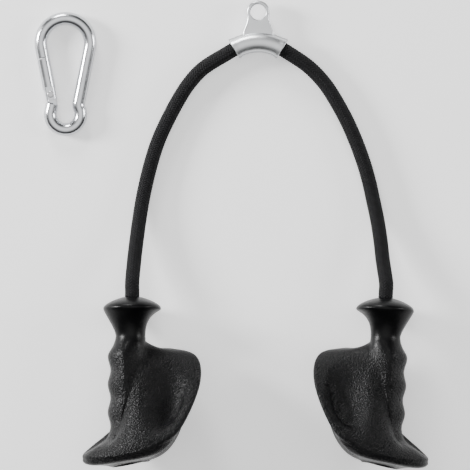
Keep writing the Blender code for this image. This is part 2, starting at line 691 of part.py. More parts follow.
def core_tube_mesh(name):
    top = -(CORE_TOP_COVER + SEAT_GAP)
    bottom = -CORE_BOTTOM_DROP
    collar = bottom + CORE_COLLAR_LENGTH
    return turned(name, [
        (ROPE_HOLE_RADIUS, top), (CORE_RADIUS, top), (CORE_RADIUS, collar),
        (COLLAR_RADIUS, collar), (COLLAR_RADIUS, bottom), (ROPE_HOLE_RADIUS, bottom),
    ])


def washer_mesh(name):
    top = -WASHER_TOP_DROP
    bottom = top - WASHER_THICKNESS
    return turned(name, [
        (ROPE_HOLE_RADIUS, top), (WASHER_RADIUS, top),
        (WASHER_RADIUS, bottom), (ROPE_HOLE_RADIUS, bottom),
    ])


def crimp_mesh(name):
    """A ferrule with the waists that the crimping jaws press into it."""
    waists = 3
    pitch = CRIMP_LENGTH / waists
    outside = []
    for k in range(waists):
        start = -CRIMP_TOP_DROP - k * pitch
        outside += [(CRIMP_RADIUS, start), (CRIMP_RADIUS, start - pitch * 0.3)]
        outside += [(CRIMP_RADIUS - CRIMP_GROOVE, start - pitch * 0.45)]
        outside += [(CRIMP_RADIUS - CRIMP_GROOVE, start - pitch * 0.75)]
    outside.append((CRIMP_RADIUS, -CRIMP_BOTTOM_DROP))
    inside = [(ROPE_HOLE_RADIUS, -CRIMP_BOTTOM_DROP), (ROPE_HOLE_RADIUS, -CRIMP_TOP_DROP)]
    return turned(name, outside + inside)


def rope_end_mesh(name):
    return turned(name, [
        (0, 0), (ROPE_RADIUS, 0), (ROPE_RADIUS, -ROPE_END_DROP), (0, -ROPE_END_DROP),
    ], closed=False)


def plug_mesh(name):
    shank = POCKET_RADIUS - SEAT_GAP
    seat = -(PLUG_SEAT_DROP + SEAT_GAP)
    return turned(name, [
        (0, -PLUG_SHANK_TOP), (shank, -PLUG_SHANK_TOP), (shank, seat),
        (PLUG_HEAD_RADIUS, seat), (PLUG_HEAD_RADIUS, -HANDLE_LENGTH),
        (POCKET_RADIUS, -HANDLE_LENGTH), (shank - PLUG_DISH, -HANDLE_LENGTH + PLUG_DISH),
        (0, -HANDLE_LENGTH + PLUG_DISH),
    ], closed=False)


def resting_place(mesh, place, lean, swivel):
    """Lays a handle on its flange and its hull: where its own axes lie on the table."""
    spun = Matrix.Rotation(swivel, 4, "Y")
    points = [spun @ v.co for v in mesh.vertices]
    hull = [p for p in points if p.y < -NECK_DROP]
    tilt = max(
        math.atan2(-p.z - FLANGE_RADIUS, -p.y - FLANGE_RIM_DROP) for p in hull
    )
    turn = Matrix.Rotation(lean, 4, "Z") @ Matrix.Rotation(-tilt, 4, "X") @ spun
    lowest = min((turn @ v.co).z for v in mesh.vertices)
    return Matrix.Translation((*place, -lowest)) @ turn


def build_handle(word, side, place, lean, swivel, layout, finishes):
    mesh = handle_mesh("handle_" + word, side)
    frame = resting_place(mesh, place, lean, swivel)
    axis = add_empty(word + "_handle_axis", layout, frame)
    add_object("handle_" + word, mesh, finishes["rubber"], axis)
    for base, make, finish in (
        ("core_tube_", core_tube_mesh, "nylon"),
        ("thrust_washer_", washer_mesh, "zinc"),
        ("crimp_ferrule_", crimp_mesh, "aluminium"),
        ("rope_end_", rope_end_mesh, "rope"),
        ("end_plug_", plug_mesh, "plug"),
    ):
        add_object(base + word, make(base + word), finishes[finish], axis)
    return frame


# Snap hook. Its origin is the centre of the wide bow, and +Z faces up.

def hook_line():
    """The bar's centre from the nose, over the bow, round the small eye to the tongue's root."""
    lean = HOOK_LIMB_LEAN
    step = math.radians(10)
    limb_start = Vector((math.cos(lean), -math.sin(lean), 0)) * HOOK_BOW_RADIUS
    limb_way = Vector((-math.sin(lean), -math.cos(lean), 0))
    eye = Vector((0, -HOOK_EYE_DROP, 0))
    bow_sweep = math.pi + 2 * lean
    bow_steps = round(bow_sweep / step)
    bow = [
        radial_flat(math.pi + lean - bow_sweep * k / bow_steps) * HOOK_BOW_RADIUS
        for k in range(bow_steps + 1)
    ]

    # Where the limb's line meets the eye's circle, before the corner is rounded.
    gap = limb_start - eye
    along = gap.dot(limb_way)
    inside = along ** 2 - gap.length_squared + HOOK_EYE_RADIUS ** 2
    corner = limb_start - limb_way * (along + math.sqrt(max(0, inside)))
    ease = HOOK_WAIST_ROUND / HOOK_EYE_RADIUS
    arc_from = math.atan2(corner.y - eye.y, corner.x) - ease
    arc_start = eye + radial_flat(arc_from) * HOOK_EYE_RADIUS
    limb_end = corner - limb_way * HOOK_WAIST_ROUND
    limb = [limb_start.lerp(limb_end, k / 4) for k in range(1, 4)]
    waist = [
        limb_end.lerp(corner, t).lerp(corner.lerp(arc_start, t), t)
        for t in (0, 0.25, 0.5, 0.75, 1)
    ]

    # The eye's far side runs off its circle, straight to the root of the tongue.
    nose = Vector((-limb_start.x, limb_start.y, 0))
    down = Vector((-limb_way.x, limb_way.y, 0))
    root = nose + down * (HOOK_LIMB_LENGTH - HOOK_NECK_RUN)
    to_root = root - eye
    leave = math.acos(min(1, HOOK_EYE_RADIUS / to_root.length))
    arc_to = math.atan2(to_root.y, to_root.x) + leave - math.tau
    arc_steps = round((arc_from - arc_to) / (step * 1.5))
    arc = [
        eye + radial_flat(arc_from + (arc_to - arc_from) * k / arc_steps) * HOOK_EYE_RADIUS
        for k in range(1, arc_steps + 1)
    ]
    nose_end = nose + down * GATE_TOP_ALONG
    return [nose_end, nose_end.lerp(nose, 0.5)] + bow + limb + waist + arc + [root]


def radial_flat(angle):
    return Vector((math.cos(angle), math.sin(angle), 0))


def gate_frame():
    """The gate's axes in the hook: origin at its pivot, +Y up the limb, +X inwards."""
    lean = HOOK_LIMB_LEAN
    nose = Vector((-math.cos(lean), -math.sin(lean), 0)) * HOOK_BOW_RADIUS
    down = Vector((math.sin(lean), -math.cos(lean), 0))
    pivot = nose + down * (GATE_TOP_ALONG + GATE_PIVOT_ALONG)
    return Matrix.Translation(pivot) @ Matrix.Rotation(lean, 4, "Z")


def cross_pin(name, radius, half_length):
    """A cylinder along the Z axis, as a cutter for the rivet's holes."""
    mesh = turned(name, [
        (0, -half_length), (radius, -half_length), (radius, half_length), (0, half_length),
    ], AROUND_BAR, closed=False)
    mesh.transform(Matrix.Rotation(math.pi / 2, 4, "X"))
    return mesh


def tongue_mesh(name):
    """The bar's flattened end: its blunt tip stands in the gate's slot and lifts the plunger."""
    sunk = -(GATE_PIVOT_INSET + TONGUE_SHOW + OVERRUN)
    outline = [
        (-TONGUE_HALF_WIDTH, sunk), (TONGUE_HALF_WIDTH, sunk), (TONGUE_HALF_WIDTH, 0),
        (TONGUE_FLAT_HALF, TONGUE_END), (-TONGUE_FLAT_HALF, TONGUE_END), (-TONGUE_HALF_WIDTH, 0),
    ]
    return loft(name, [
        [Vector((x, y, z)) for x, y in outline]
        for z in (-TONGUE_HALF_THICKNESS, TONGUE_HALF_THICKNESS)
    ])


def build_hook(layout, finishes):
    place = Matrix.Translation((*HOOK_PLACE, HOOK_BAR_RADIUS))
    hook = add_empty("snap_hook_frame", layout, place)
    line = hook_line()
    upright = Vector((0, 0, 1))
    bar = rings_along(line, [HOOK_BAR_RADIUS] * len(line), AROUND_BAR, upright)
    blank = loft("snap_hook_body", bar)
    body = add_object("snap_hook_body", blank, finishes["zinc"], hook)
    gate_axis = add_empty("gate_pivot", hook, gate_frame())
    reach = HOOK_BAR_RADIUS + OVERRUN
    lap_top = GATE_PIVOT_ALONG + GATE_LAP_LENGTH
    lap_side = HOOK_BAR_RADIUS - GATE_LAP_DEPTH

    tongue = add_object("tongue", tongue_mesh("tongue"), None, gate_axis)
    cut_with(body, tongue, "UNION")
    hole = cross_pin("rivet_hole", RIVET_RADIUS + SEAT_GAP, reach)
    cut_with(body, add_object("rivet_hole", hole, None, gate_axis))
    notch = box_mesh(
        "nose_notch", (lap_side, GATE_PIVOT_ALONG - OVERRUN, -reach),
        (reach, lap_top + SEAT_GAP, reach),
    )
    cut_with(body, add_object("nose_notch", notch, None, gate_axis))

    # The gate: a round bar with a lip that laps the nose's inner side, cheeks milled flat,
    # a slot for the tongue and a bore for the plunger and its spring.
    gate_mesh = turned("snap_hook_gate", [
        (0, -GATE_PIVOT_INSET), (HOOK_BAR_RADIUS, -GATE_PIVOT_INSET),
        (HOOK_BAR_RADIUS, lap_top), (0, lap_top),
    ], AROUND_BAR, closed=False)
    gate = add_object("snap_hook_gate", gate_mesh, finishes["zinc"], gate_axis)
    over_lip = box_mesh(
        "over_lip", (-reach, GATE_SEAM_ALONG, -reach),
        (lap_side + SEAT_GAP, lap_top + OVERRUN, reach),
    )
    cut_with(gate, add_object("over_lip", over_lip, None, gate_axis))
    foot = -GATE_PIVOT_INSET - OVERRUN
    for word, low, high in (
        ("front", GATE_CHEEK_HALF, reach),
        ("back", -reach, -GATE_CHEEK_HALF),
    ):
        flat = box_mesh(
            "cheek_" + word, (-reach, foot, low), (reach, GATE_CHEEK_LENGTH, high)
        )
        cut_with(gate, add_object("cheek_" + word, flat, None, gate_axis))
    slot = box_mesh(
        "tongue_slot", (-reach, foot, -GATE_SLOT_HALF), (reach, GATE_SLOT_TOP, GATE_SLOT_HALF)
    )
    cut_with(gate, add_object("tongue_slot", slot, None, gate_axis))
    bore = turned("plunger_bore", [
        (0, 0), (GATE_BORE_RADIUS, 0), (GATE_BORE_RADIUS, GATE_BORE_TOP), (0, GATE_BORE_TOP),
    ], AROUND_BAR, closed=False)
    cut_with(gate, add_object("plunger_bore", bore, None, gate_axis))
    gate_hole = cross_pin("gate_rivet_hole", RIVET_RADIUS + SEAT_GAP, reach)
    cut_with(gate, add_object("gate_rivet_hole", gate_hole, None, gate_axis))

    build_rivet(gate_axis, finishes["steel"])
    build_plunger(gate_axis, finishes["steel"])


def build_rivet(gate_axis, finish):
    seat = GATE_CHEEK_HALF + SEAT_GAP
    tip = seat + RIVET_HEAD_HEIGHT
    mesh = turned("gate_rivet", [
        (0, -tip), (RIVET_HEAD_RADIUS * 0.7, -tip), (RIVET_HEAD_RADIUS, -seat),
        (RIVET_RADIUS, -seat), (RIVET_RADIUS, seat), (RIVET_HEAD_RADIUS, seat),
        (RIVET_HEAD_RADIUS * 0.7, tip), (0, tip),
    ], AROUND_BAR, closed=False)
    mesh.transform(Matrix.Rotation(math.pi / 2, 4, "X"))
    add_object("gate_rivet", mesh, finish, gate_axis)


def build_plunger(gate_axis, finish):
    foot = PLUNGER_FOOT
    head = foot + PLUNGER_HEAD_LENGTH
    stem = head + PLUNGER_STEM_LENGTH
    mesh = turned("gate_plunger", [
        (0, foot), (PLUNGER_RADIUS, foot), (PLUNGER_RADIUS, head),
        (PLUNGER_STEM_RADIUS, head), (PLUNGER_STEM_RADIUS, stem), (0, stem),
    ], AROUND_BAR, closed=False)
    add_object("gate_plunger", mesh, finish, gate_axis)

    per_turn = 10
    start = head + SEAT_GAP + SPRING_WIRE_RADIUS
    length = SPRING_LENGTH - 2 * SPRING_WIRE_RADIUS
    count = SPRING_TURNS * per_turn
    rings = []
    for k in range(count + 1):
        turn = math.tau * k / per_turn
        spoke = radial(turn)
        centre = spoke * SPRING_COIL_RADIUS + Vector((0, start + length * k / count, 0))
        rise = Vector((0, 1, 0))
        rings.append([
            centre + (spoke * math.cos(t) + rise * math.sin(t)) * SPRING_WIRE_RADIUS
            for t in (math.tau * i / 6 for i in range(6))
        ])
    add_object("gate_spring", loft("gate_spring", rings), finish, gate_axis)


# The whole layout

def stand_at_origin(layout):
    """Moves the layout so that the middle of its base is the origin. The rope lies inside."""
    bpy.context.view_layer.update()
    graph = bpy.context.evaluated_depsgraph_get()
    corners = []
    for thing in bpy.context.scene.objects:
        if thing.type != "MESH" or thing.hide_render:
            continue
        shown = thing.evaluated_get(graph)
        mesh = shown.to_mesh()
        corners += [shown.matrix_world @ v.co for v in mesh.vertices]
        shown.to_mesh_clear()
    low = [min(c[i] for c in corners) for i in range(3)]
    high = [max(c[i] for c in corners) for i in range(3)]
    layout.location = (-(low[0] + high[0]) / 2, -(low[1] + high[1]) / 2, -low[2])
    bpy.context.view_layer.update()


def build():
    clear_scene()
    finishes = {
        "rubber": material("moulded_rubber", (0.012, 0.012, 0.013), 0.42, 0.0),
        "plug": material("rubber_plug", (0.010, 0.010, 0.010), 0.55, 0.0),
        "nylon": material("nylon_core", (0.05, 0.05, 0.055), 0.5, 0.0),
        "rope": material("braided_rope", (0.010, 0.010, 0.011), 0.75, 0.0),
        "aluminium": material("cast_aluminium", (0.78, 0.79, 0.80), 0.35, 1.0),
        "zinc": material("zinc_plated_steel", (0.70, 0.71, 0.73), 0.25, 1.0),
        "steel": material("spring_steel", (0.55, 0.55, 0.56), 0.3, 1.0),
    }
    layout = add_empty("layout", None, Matrix.Identity(4))
    casting = add_empty("sleeve_frame", layout, Matrix.Translation((0, 0, SLEEVE_HEIGHT)))
    eye_sleeve(casting, finishes["aluminium"])
    rope_piece("rope_in_sleeve", held_rope_line(), finishes["rope"], casting)

    for word, side, place, lean, swivel, route in (
        ("left", -1, LEFT_HANDLE_PLACE, LEFT_LEAN, LEFT_SWIVEL, LEFT_ROUTE),
        ("right", 1, RIGHT_HANDLE_PLACE, RIGHT_LEAN, RIGHT_SWIVEL, RIGHT_ROUTE),
    ):
        frame = build_handle(word, -side, place, lean, swivel, layout, finishes)
        up = frame.to_3x3() @ Vector((0, 1, 0))
        line = route_line(side, route, frame.to_translation(), up)
        rope_piece("rope_" + word, line, finishes["rope"], layout)
    build_hook(layout, finishes)
    stand_at_origin(layout)


build()
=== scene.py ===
import json
import math

import bmesh
import bpy
import numpy
from mathutils import Matrix, Vector


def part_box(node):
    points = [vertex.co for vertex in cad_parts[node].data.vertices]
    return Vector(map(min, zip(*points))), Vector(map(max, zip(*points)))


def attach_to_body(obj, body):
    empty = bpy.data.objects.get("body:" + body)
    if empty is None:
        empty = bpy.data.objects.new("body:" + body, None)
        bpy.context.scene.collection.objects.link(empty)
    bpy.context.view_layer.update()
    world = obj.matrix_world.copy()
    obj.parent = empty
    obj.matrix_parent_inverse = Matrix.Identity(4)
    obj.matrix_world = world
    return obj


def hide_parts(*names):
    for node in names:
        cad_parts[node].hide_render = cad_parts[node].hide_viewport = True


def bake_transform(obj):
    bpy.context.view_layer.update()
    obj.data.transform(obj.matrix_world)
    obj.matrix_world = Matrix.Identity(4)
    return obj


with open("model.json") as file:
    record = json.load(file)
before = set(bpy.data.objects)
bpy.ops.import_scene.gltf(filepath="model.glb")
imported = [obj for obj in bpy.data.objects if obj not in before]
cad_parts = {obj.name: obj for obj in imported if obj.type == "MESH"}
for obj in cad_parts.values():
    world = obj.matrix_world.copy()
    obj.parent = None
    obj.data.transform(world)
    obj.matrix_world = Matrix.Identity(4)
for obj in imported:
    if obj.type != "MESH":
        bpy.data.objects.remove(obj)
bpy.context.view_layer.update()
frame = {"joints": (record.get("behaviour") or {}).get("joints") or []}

scene = bpy.context.scene
joints = {joint["name"]: joint for joint in frame["joints"]}

# The camera. It looks straight down from far off through a very long lens, because the
# photograph shows the attachment laid flat, with no side of any piece in view.
MM = 0.001
SEEN_WIDTH = 380.7 * MM
SEEN_MIDDLE = (3.2 * MM, -0.25 * MM)
CAMERA_LENS = 1000.0
CAMERA_SENSOR = 36.0
camera_height = SEEN_WIDTH * CAMERA_LENS / CAMERA_SENSOR
camera_data = bpy.data.cameras.new("camera")
camera_data.lens = CAMERA_LENS
camera_data.sensor_width = CAMERA_SENSOR
camera_data.clip_end = 2 * camera_height
camera = bpy.data.objects.new("camera", camera_data)
camera.location = (*SEEN_MIDDLE, camera_height)
scene.collection.objects.link(camera)
scene.camera = camera


# The rope. A black braid of polyester strands, two over and two under, on a dark core.
# Its middle is held in the cast sleeve, and each arm runs in a free curve to a handle, goes
# down the handle's core and ends in a crimped ferrule.
ROPE_RADIUS = 6.0 * MM
SEAT_GAP = 0.3 * MM
ROPE_TABLE_GAP = 0.3 * MM
ROUTE_STEP = 3.0 * MM
BRAID_STRANDS = 32
BRAID_LAY = 34.0 * MM
STRAND_WIDTH = 1.75 * MM
STRAND_HEIGHT = 0.85 * MM
STRAND_LIFT = 0.3 * MM
STRAND_SIDES = 6
STRAND_SHADE_STEP = 0.618
YARN_PHASE_ACROSS = 11.0
YARN_PHASE_ALONG = 2600.0
RINGS_PER_CROSSING = 2.0
HELD_RINGS_PER_CROSSING = 1.0
HELD_ROPE_STEPS = 30
ROPE_CORE_SIDES = 24
ROPE_FLEX_LENGTH = 60.0 * MM

SLEEVE_BEND_RADIUS = 37.0 * MM
SLEEVE_HALF_ANGLE = math.radians(32.0)
EYE_RISE = 24.4 * MM
EYE_HOLE_RADIUS = 6.3 * MM
EYE_RING_WIDTH = 3.1 * MM
sleeve_low, sleeve_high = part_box("eye_sleeve")
eye_centre = Vector((
    (sleeve_low.x + sleeve_high.x) / 2,
    sleeve_high.y - EYE_HOLE_RADIUS - EYE_RING_WIDTH,
    (sleeve_low.z + sleeve_high.z) / 2,
))

# The routes, from the sleeve to each handle, from the eye's centre in X and Y.
LEFT_ROUTE = [
    (-38.9 * MM, -41.6 * MM), (-47.6 * MM, -48.2 * MM), (-56.8 * MM, -58.8 * MM),
    (-64.6 * MM, -71.0 * MM), (-73.2 * MM, -87.2 * MM), (-80.6 * MM, -103.4 * MM),
    (-86.0 * MM, -119.6 * MM), (-90.2 * MM, -135.8 * MM), (-93.6 * MM, -152.0 * MM),
    (-96.2 * MM, -168.2 * MM), (-98.4 * MM, -184.4 * MM), (-100.3 * MM, -200.6 * MM),
]
RIGHT_ROUTE = [
    (36.9 * MM, -41.2 * MM), (45.4 * MM, -48.4 * MM), (54.6 * MM, -58.8 * MM),
    (62.5 * MM, -71.0 * MM), (71.4 * MM, -87.2 * MM), (78.6 * MM, -103.4 * MM),
    (84.6 * MM, -119.6 * MM), (89.4 * MM, -135.8 * MM), (93.0 * MM, -152.0 * MM),
    (96.4 * MM, -168.2 * MM), (98.9 * MM, -184.4 * MM), (100.7 * MM, -200.6 * MM),
]
SLEEVE_CLIMB_SHARES = [0.45, 0.15]
HANDLE_CLIMB_SHARES = [0.01, 0.06, 0.18, 0.38, 0.60]


class Wire:
    """An output in a node tree. Sums on it add Math nodes, and node() adds any other node."""

    def __init__(self, tree, socket=None):
        self.tree = tree
        self.socket = socket

    def node(self, kind, settings=None, inputs=None, out=0):
        made = self.tree.nodes.new(kind)
        for name, value in (settings or {}).items():
            if name == "stops":
                ramp = made.color_ramp.elements
                while len(ramp) < len(value):
                    ramp.new(1.0)
                for stop, (place, colour) in zip(ramp, value):
                    stop.position = place
                    stop.color = (*colour, 1.0)
            else:
                setattr(made, name, value)
        for name, value in (inputs or {}).items():
            if isinstance(value, Wire):
                self.tree.links.new(value.socket, made.inputs[name])
            else:
                made.inputs[name].default_value = value
        return Wire(self.tree, made.outputs[out]) if made.outputs else made

    def out(self, name):
        return Wire(self.tree, self.socket.node.outputs[name])

    def math(self, operation, *values):
        return self.node("ShaderNodeMath", {"operation": operation}, dict(enumerate(values)))

    def vector(self, operation, *values, out=0, **named):
        inputs = dict(enumerate(values)) | named
        return self.node("ShaderNodeVectorMath", {"operation": operation}, inputs, out)

    def __add__(self, other):
        return self.math("ADD", self, other)

    def __sub__(self, other):
        return self.math("SUBTRACT", self, other)

    def __rsub__(self, other):
        return self.math("SUBTRACT", other, self)

    def __mul__(self, other):
        return self.math("MULTIPLY", self, other)

    def __truediv__(self, other):
        return self.math("DIVIDE", self, other)

    __radd__ = __add__
    __rmul__ = __mul__


def new_material(name, roughness, metallic=0.0, **plain):
    """A material with its shader, and a wire to add nodes with."""
    made = bpy.data.materials.new(name)
    made.use_nodes = True
    shader = made.node_tree.nodes["Principled BSDF"]
    shader.inputs["Roughness"].default_value = roughness
    shader.inputs["Metallic"].default_value = metallic
    for words, value in plain.items():
        shader.inputs[words.replace("_", " ")].default_value = value
    return made, shader, Wire(made.node_tree)


def attach(material, shader, **wires):
    """Plugs wires into the shader's sockets of those names."""
    for words, wire in wires.items():
        material.node_tree.links.new(wire.socket, shader.inputs[words.replace("_", " ")])


def braid_material():
    """Twisted yarn: strands with painted shade that darkens them to their edges, with fine lines
    along and a little lint.
    """
    made, shader, add = new_material("braided_rope", 0.62, Specular_IOR_Level=0.12)
    across = add.node("ShaderNodeAttribute", {"attribute_name": "strand_across"}, out="Fac")
    along = add.node("ShaderNodeAttribute", {"attribute_name": "strand_along"}, out="Fac")
    shade = add.node("ShaderNodeAttribute", {"attribute_name": "strand_shade"}, out="Fac")
    phase = across * YARN_PHASE_ACROSS + along * YARN_PHASE_ALONG
    yarns = add.math("SINE", phase) * 0.5 + 0.5
    place = add.node("ShaderNodeTexCoord", out="Object")
    lint = add.node("ShaderNodeTexNoise", None, {"Vector": place, "Scale": 900.0, "Detail": 3.0})
    # Painted shade: each strand's colour is darkest at its edges, where the strands tuck under each
    # other, and lightest along its crown.
    painted_edge_shade = 1 - across * across
    tone = yarns * 0.2 + shade * 0.15 + lint * 0.15 + painted_edge_shade * 0.5
    colour = add.node("ShaderNodeValToRGB", {"stops": [
        (0.3, (0.0006, 0.0006, 0.0007)), (0.9, (0.015, 0.015, 0.016)),
    ]}, {"Fac": tone})
    bump = add.node("ShaderNodeBump", None, {
        "Height": yarns + lint * 0.5, "Distance": 0.06 * MM, "Strength": 0.8,
    })
    attach(made, shader, Base_Color=colour, Normal=bump, Roughness=0.5 + lint * 0.25)
    return made


def braid_tree():
    """Geometry nodes that lay strands round a route: half turn one way and half the other."""
    tree = bpy.data.node_groups.new("braid", "GeometryNodeTree")
    for name, kind in (
        ("Route", "Geometry"), ("Radius", "Float"), ("Lay", "Float"), ("Strands", "Int"),
        ("Strand Width", "Float"), ("Strand Height", "Float"), ("Strand Lift", "Float"),
        ("Strand Sides", "Int"), ("Rings per Crossing", "Float"), ("Finish", "Material"),
    ):
        tree.interface.new_socket(name, in_out="INPUT", socket_type="NodeSocket" + kind)
    tree.interface.new_socket("Rope", in_out="OUTPUT", socket_type="NodeSocketGeometry")
    add = Wire(tree)
    given = add.node("NodeGroupInput")
    strands = given.out("Strands")
    lift = given.out("Strand Lift")
    height = given.out("Strand Height")

    route = add.node("GeometryNodeMeshToCurve", None, {"Mesh": given.out("Route")})
    route = add.node("GeometryNodeSetCurveNormal", {"mode": "Z_UP"}, {"Curve": route})
    turns = add.node("GeometryNodeCurveLength", None, {"Curve": route}) / given.out("Lay")
    line = add.node("GeometryNodeResampleCurve", None, {
        "Curve": add.node("GeometryNodeCurvePrimitiveLine"),
        "Count": turns * strands * given.out("Rings per Crossing"),
    })
    copies = add.node("GeometryNodeDuplicateElements", {"domain": "SPLINE"}, {
        "Geometry": line, "Amount": strands,
    })
    number = copies.out("Duplicate Index")
    way = 1 - 2 * add.math("MODULO", number, 2)
    share = add.node("GeometryNodeSplineParameter")
    spot = add.node("GeometryNodeSampleCurve", {"mode": "FACTOR"}, {
        "Curves": route, "Factor": share,
    }, "Position")
    turn = add.math("FLOOR", number / 2) * math.tau * 2 / strands + way * share * turns * math.tau
    wave = add.math("COSINE", turn * strands / 4 - math.pi / 4)
    over = way * wave * (1.5 - wave * wave * 0.5)
    reach = given.out("Radius") - height / 2 - lift + over * lift
    side = add.vector("CROSS_PRODUCT", spot.out("Tangent"), spot.out("Normal"))
    spoke = add.vector(
        "ADD",
        add.vector("SCALE", spot.out("Normal"), Scale=add.math("COSINE", turn)),
        add.vector("SCALE", side, Scale=add.math("SINE", turn)),
    )
    laid = copies
    for name, value in (
        ("strand_along", share * turns * given.out("Lay")),
        ("strand_shade", add.math("FRACT", number * STRAND_SHADE_STEP)),
    ):
        laid = add.node("GeometryNodeStoreNamedAttribute", None, {
            "Geometry": laid, "Name": name, "Value": value,
        })
    laid = add.node("GeometryNodeSetCurveNormal", {"mode": "FREE"}, {
        "Curve": laid, "Normal": spoke,
    })
    laid = add.node("GeometryNodeSetPosition", None, {
        "Geometry": laid,
        "Position": add.vector("ADD", spot, add.vector("SCALE", spoke, Scale=reach)),
    })

    ring = add.node("GeometryNodeCurvePrimitiveCircle", None, {
        "Resolution": given.out("Strand Sides"), "Radius": 1.0,
    })
    place = add.node("ShaderNodeSeparateXYZ", None, {
        "Vector": add.node("GeometryNodeInputPosition"),
    }, "Y")
    ring = add.node("GeometryNodeStoreNamedAttribute", None, {
        "Geometry": ring, "Name": "strand_across", "Value": place,
    })
    section = add.node("GeometryNodeTransform", None, {
        "Geometry": ring,
        "Scale": add.node("ShaderNodeCombineXYZ", None, {
            "X": height / 2, "Y": given.out("Strand Width") / 2, "Z": 1.0,
        }),
    })
    strand_skin = add.node("GeometryNodeCurveToMesh", None, {
        "Curve": laid, "Profile Curve": section, "Fill Caps": True,
    })
    core_ring = add.node("GeometryNodeCurvePrimitiveCircle", None, {
        "Resolution": ROPE_CORE_SIDES, "Radius": given.out("Radius") - height - lift,
    })
    core_skin = add.node("GeometryNodeCurveToMesh", None, {
        "Curve": route, "Profile Curve": core_ring, "Fill Caps": True,
    })
    joined = add.node("GeometryNodeJoinGeometry", None, {"Geometry": strand_skin})
    tree.links.new(core_skin.socket, joined.socket.node.inputs["Geometry"])
    smooth = add.node("GeometryNodeSetShadeSmooth", None, {"Geometry": joined})
    real = add.node("GeometryNodeRealizeInstances", None, {"Geometry": smooth})
    finished = add.node("GeometryNodeSetMaterial", None, {
        "Geometry": real, "Material": given.out("Finish"),
    })
    add.node("NodeGroupOutput", None, {"Rope": finished})
    return tree


def grown(name, host_mesh, tree, sizes):
    """Runs a tree of geometry nodes on a mesh and returns the result as a plain object."""
    host = bpy.data.objects.new(name + "_route", host_mesh)
    scene.collection.objects.link(host)
    change = host.modifiers.new(tree.name, "NODES")
    change.node_group = tree
    for socket in tree.interface.items_tree:
        if socket.in_out == "INPUT" and socket.name in sizes:
            change[socket.identifier] = sizes[socket.name]
    graph = bpy.context.evaluated_depsgraph_get()
    mesh = bpy.data.meshes.new_from_object(host.evaluated_get(graph))
    bpy.data.objects.remove(host)
    made = bpy.data.objects.new(name, mesh)
    scene.collection.objects.link(made)
    return made


def catmull(before, start, end, after, share):
    return 0.5 * (
        2 * start + (end - before) * share
        + (2 * before - 5 * start + 4 * end - after) * share ** 2
        + (3 * start - before - 3 * end + after) * share ** 3
    )


def smooth_line(points, step):
    """Points about a step apart on a smooth curve through the given points."""
    line = []
    last = len(points) - 1
    for i in range(last):
        before = points[i - 1] if i else 2 * points[0] - points[1]
        after = points[i + 2] if i + 2 <= last else 2 * points[last] - points[last - 1]
        pieces = max(1, round((points[i + 1] - points[i]).length / step))
        for k in range(pieces):
            line.append(catmull(before, points[i], points[i + 1], after, k / pieces))
    line.append(points[last].copy())
    return line


def sleeve_point(angle):
    """A point on the sleeve's bend, at an angle from the eye, from the eye's centre."""
    radius = SLEEVE_BEND_RADIUS
    drop = EYE_RISE + radius
    return Vector((radius * math.sin(angle), radius * math.cos(angle) - drop, 0))


def route_line(side, route, handle_top, handle_up):
    """The free rope's centre, from the sleeve's mouth to the handle's face."""
    out = Vector((side * math.cos(SLEEVE_HALF_ANGLE), -math.sin(SLEEVE_HALF_ANGLE), 0))
    lie_height = ROPE_RADIUS + ROPE_TABLE_GAP
    start = eye_centre + sleeve_point(side * SLEEVE_HALF_ANGLE) + out * SEAT_GAP
    end = handle_top + handle_up * SEAT_GAP
    points = [start, start + out * ROPE_RADIUS]
    for i, (x, y) in enumerate(route):
        height = lie_height
        if i < len(SLEEVE_CLIMB_SHARES):
            height += (eye_centre.z - lie_height) * SLEEVE_CLIMB_SHARES[i]
        late = i - (len(route) - len(HANDLE_CLIMB_SHARES))
        if late >= 0:
            height += (end.z - lie_height) * HANDLE_CLIMB_SHARES[late]
        points.append(Vector((eye_centre.x + x, eye_centre.y + y, height)))
    points += [end + handle_up * (2 * ROPE_RADIUS), end + handle_up * ROPE_RADIUS, end]
    return smooth_line(points, ROUTE_STEP)


def polyline(name, points):
    mesh = bpy.data.meshes.new(name)
    mesh.from_pydata(points, [(i, i + 1) for i in range(len(points) - 1)], [])
    return mesh


def braided(name, points, rings_per_crossing):
    """The rope's braid along a line of points, as a plain object."""
    return grown(name, polyline(name, points), braid, {
        "Radius": ROPE_RADIUS, "Lay": BRAID_LAY, "Strands": BRAID_STRANDS,
        "Strand Width": STRAND_WIDTH, "Strand Height": STRAND_HEIGHT,
        "Strand Lift": STRAND_LIFT, "Strand Sides": STRAND_SIDES,
        "Rings per Crossing": rings_per_crossing, "Finish": rope_finish,
    })


def dress(piece, node, body):
    """Lets a finished piece stand for its node, on the body that carries it."""
    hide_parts(node)
    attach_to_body(piece, body)


braid = braid_tree()
rope_finish = braid_material()
handle_axes = {}
for word, side, route in (("left", -1, LEFT_ROUTE), ("right", 1, RIGHT_ROUTE)):
    swivel = joints[word + "_handle_swivel"]
    top = Vector(swivel["pos_m"])
    up = Vector(swivel["axis"]).normalized()
    across = up.cross(Vector((0, 0, 1))).normalized()
    handle_axes[word] = Matrix.Translation(top) @ Matrix(
        (across, up, across.cross(up))
    ).transposed().to_4x4()

    line = route_line(side, route, top, up)
    free = braided(f"rope_{word}_braid", line, RINGS_PER_CROSSING)
    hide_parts("rope_" + word)
    free_length = sum((b - a).length for a, b in zip(line, line[1:]))
    heading = (line[1] - line[0]).normalized()
    line[0] + heading * ROPE_FLEX_LENGTH
    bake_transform(free)

bend = [
    eye_centre + sleeve_point(SLEEVE_HALF_ANGLE * (2 * k / HELD_ROPE_STEPS - 1))
    for k in range(HELD_ROPE_STEPS + 1)
]
middle = braided("rope_in_sleeve_braid", bend, HELD_RINGS_PER_CROSSING)
dress(middle, "rope_in_sleeve", "sleeve")


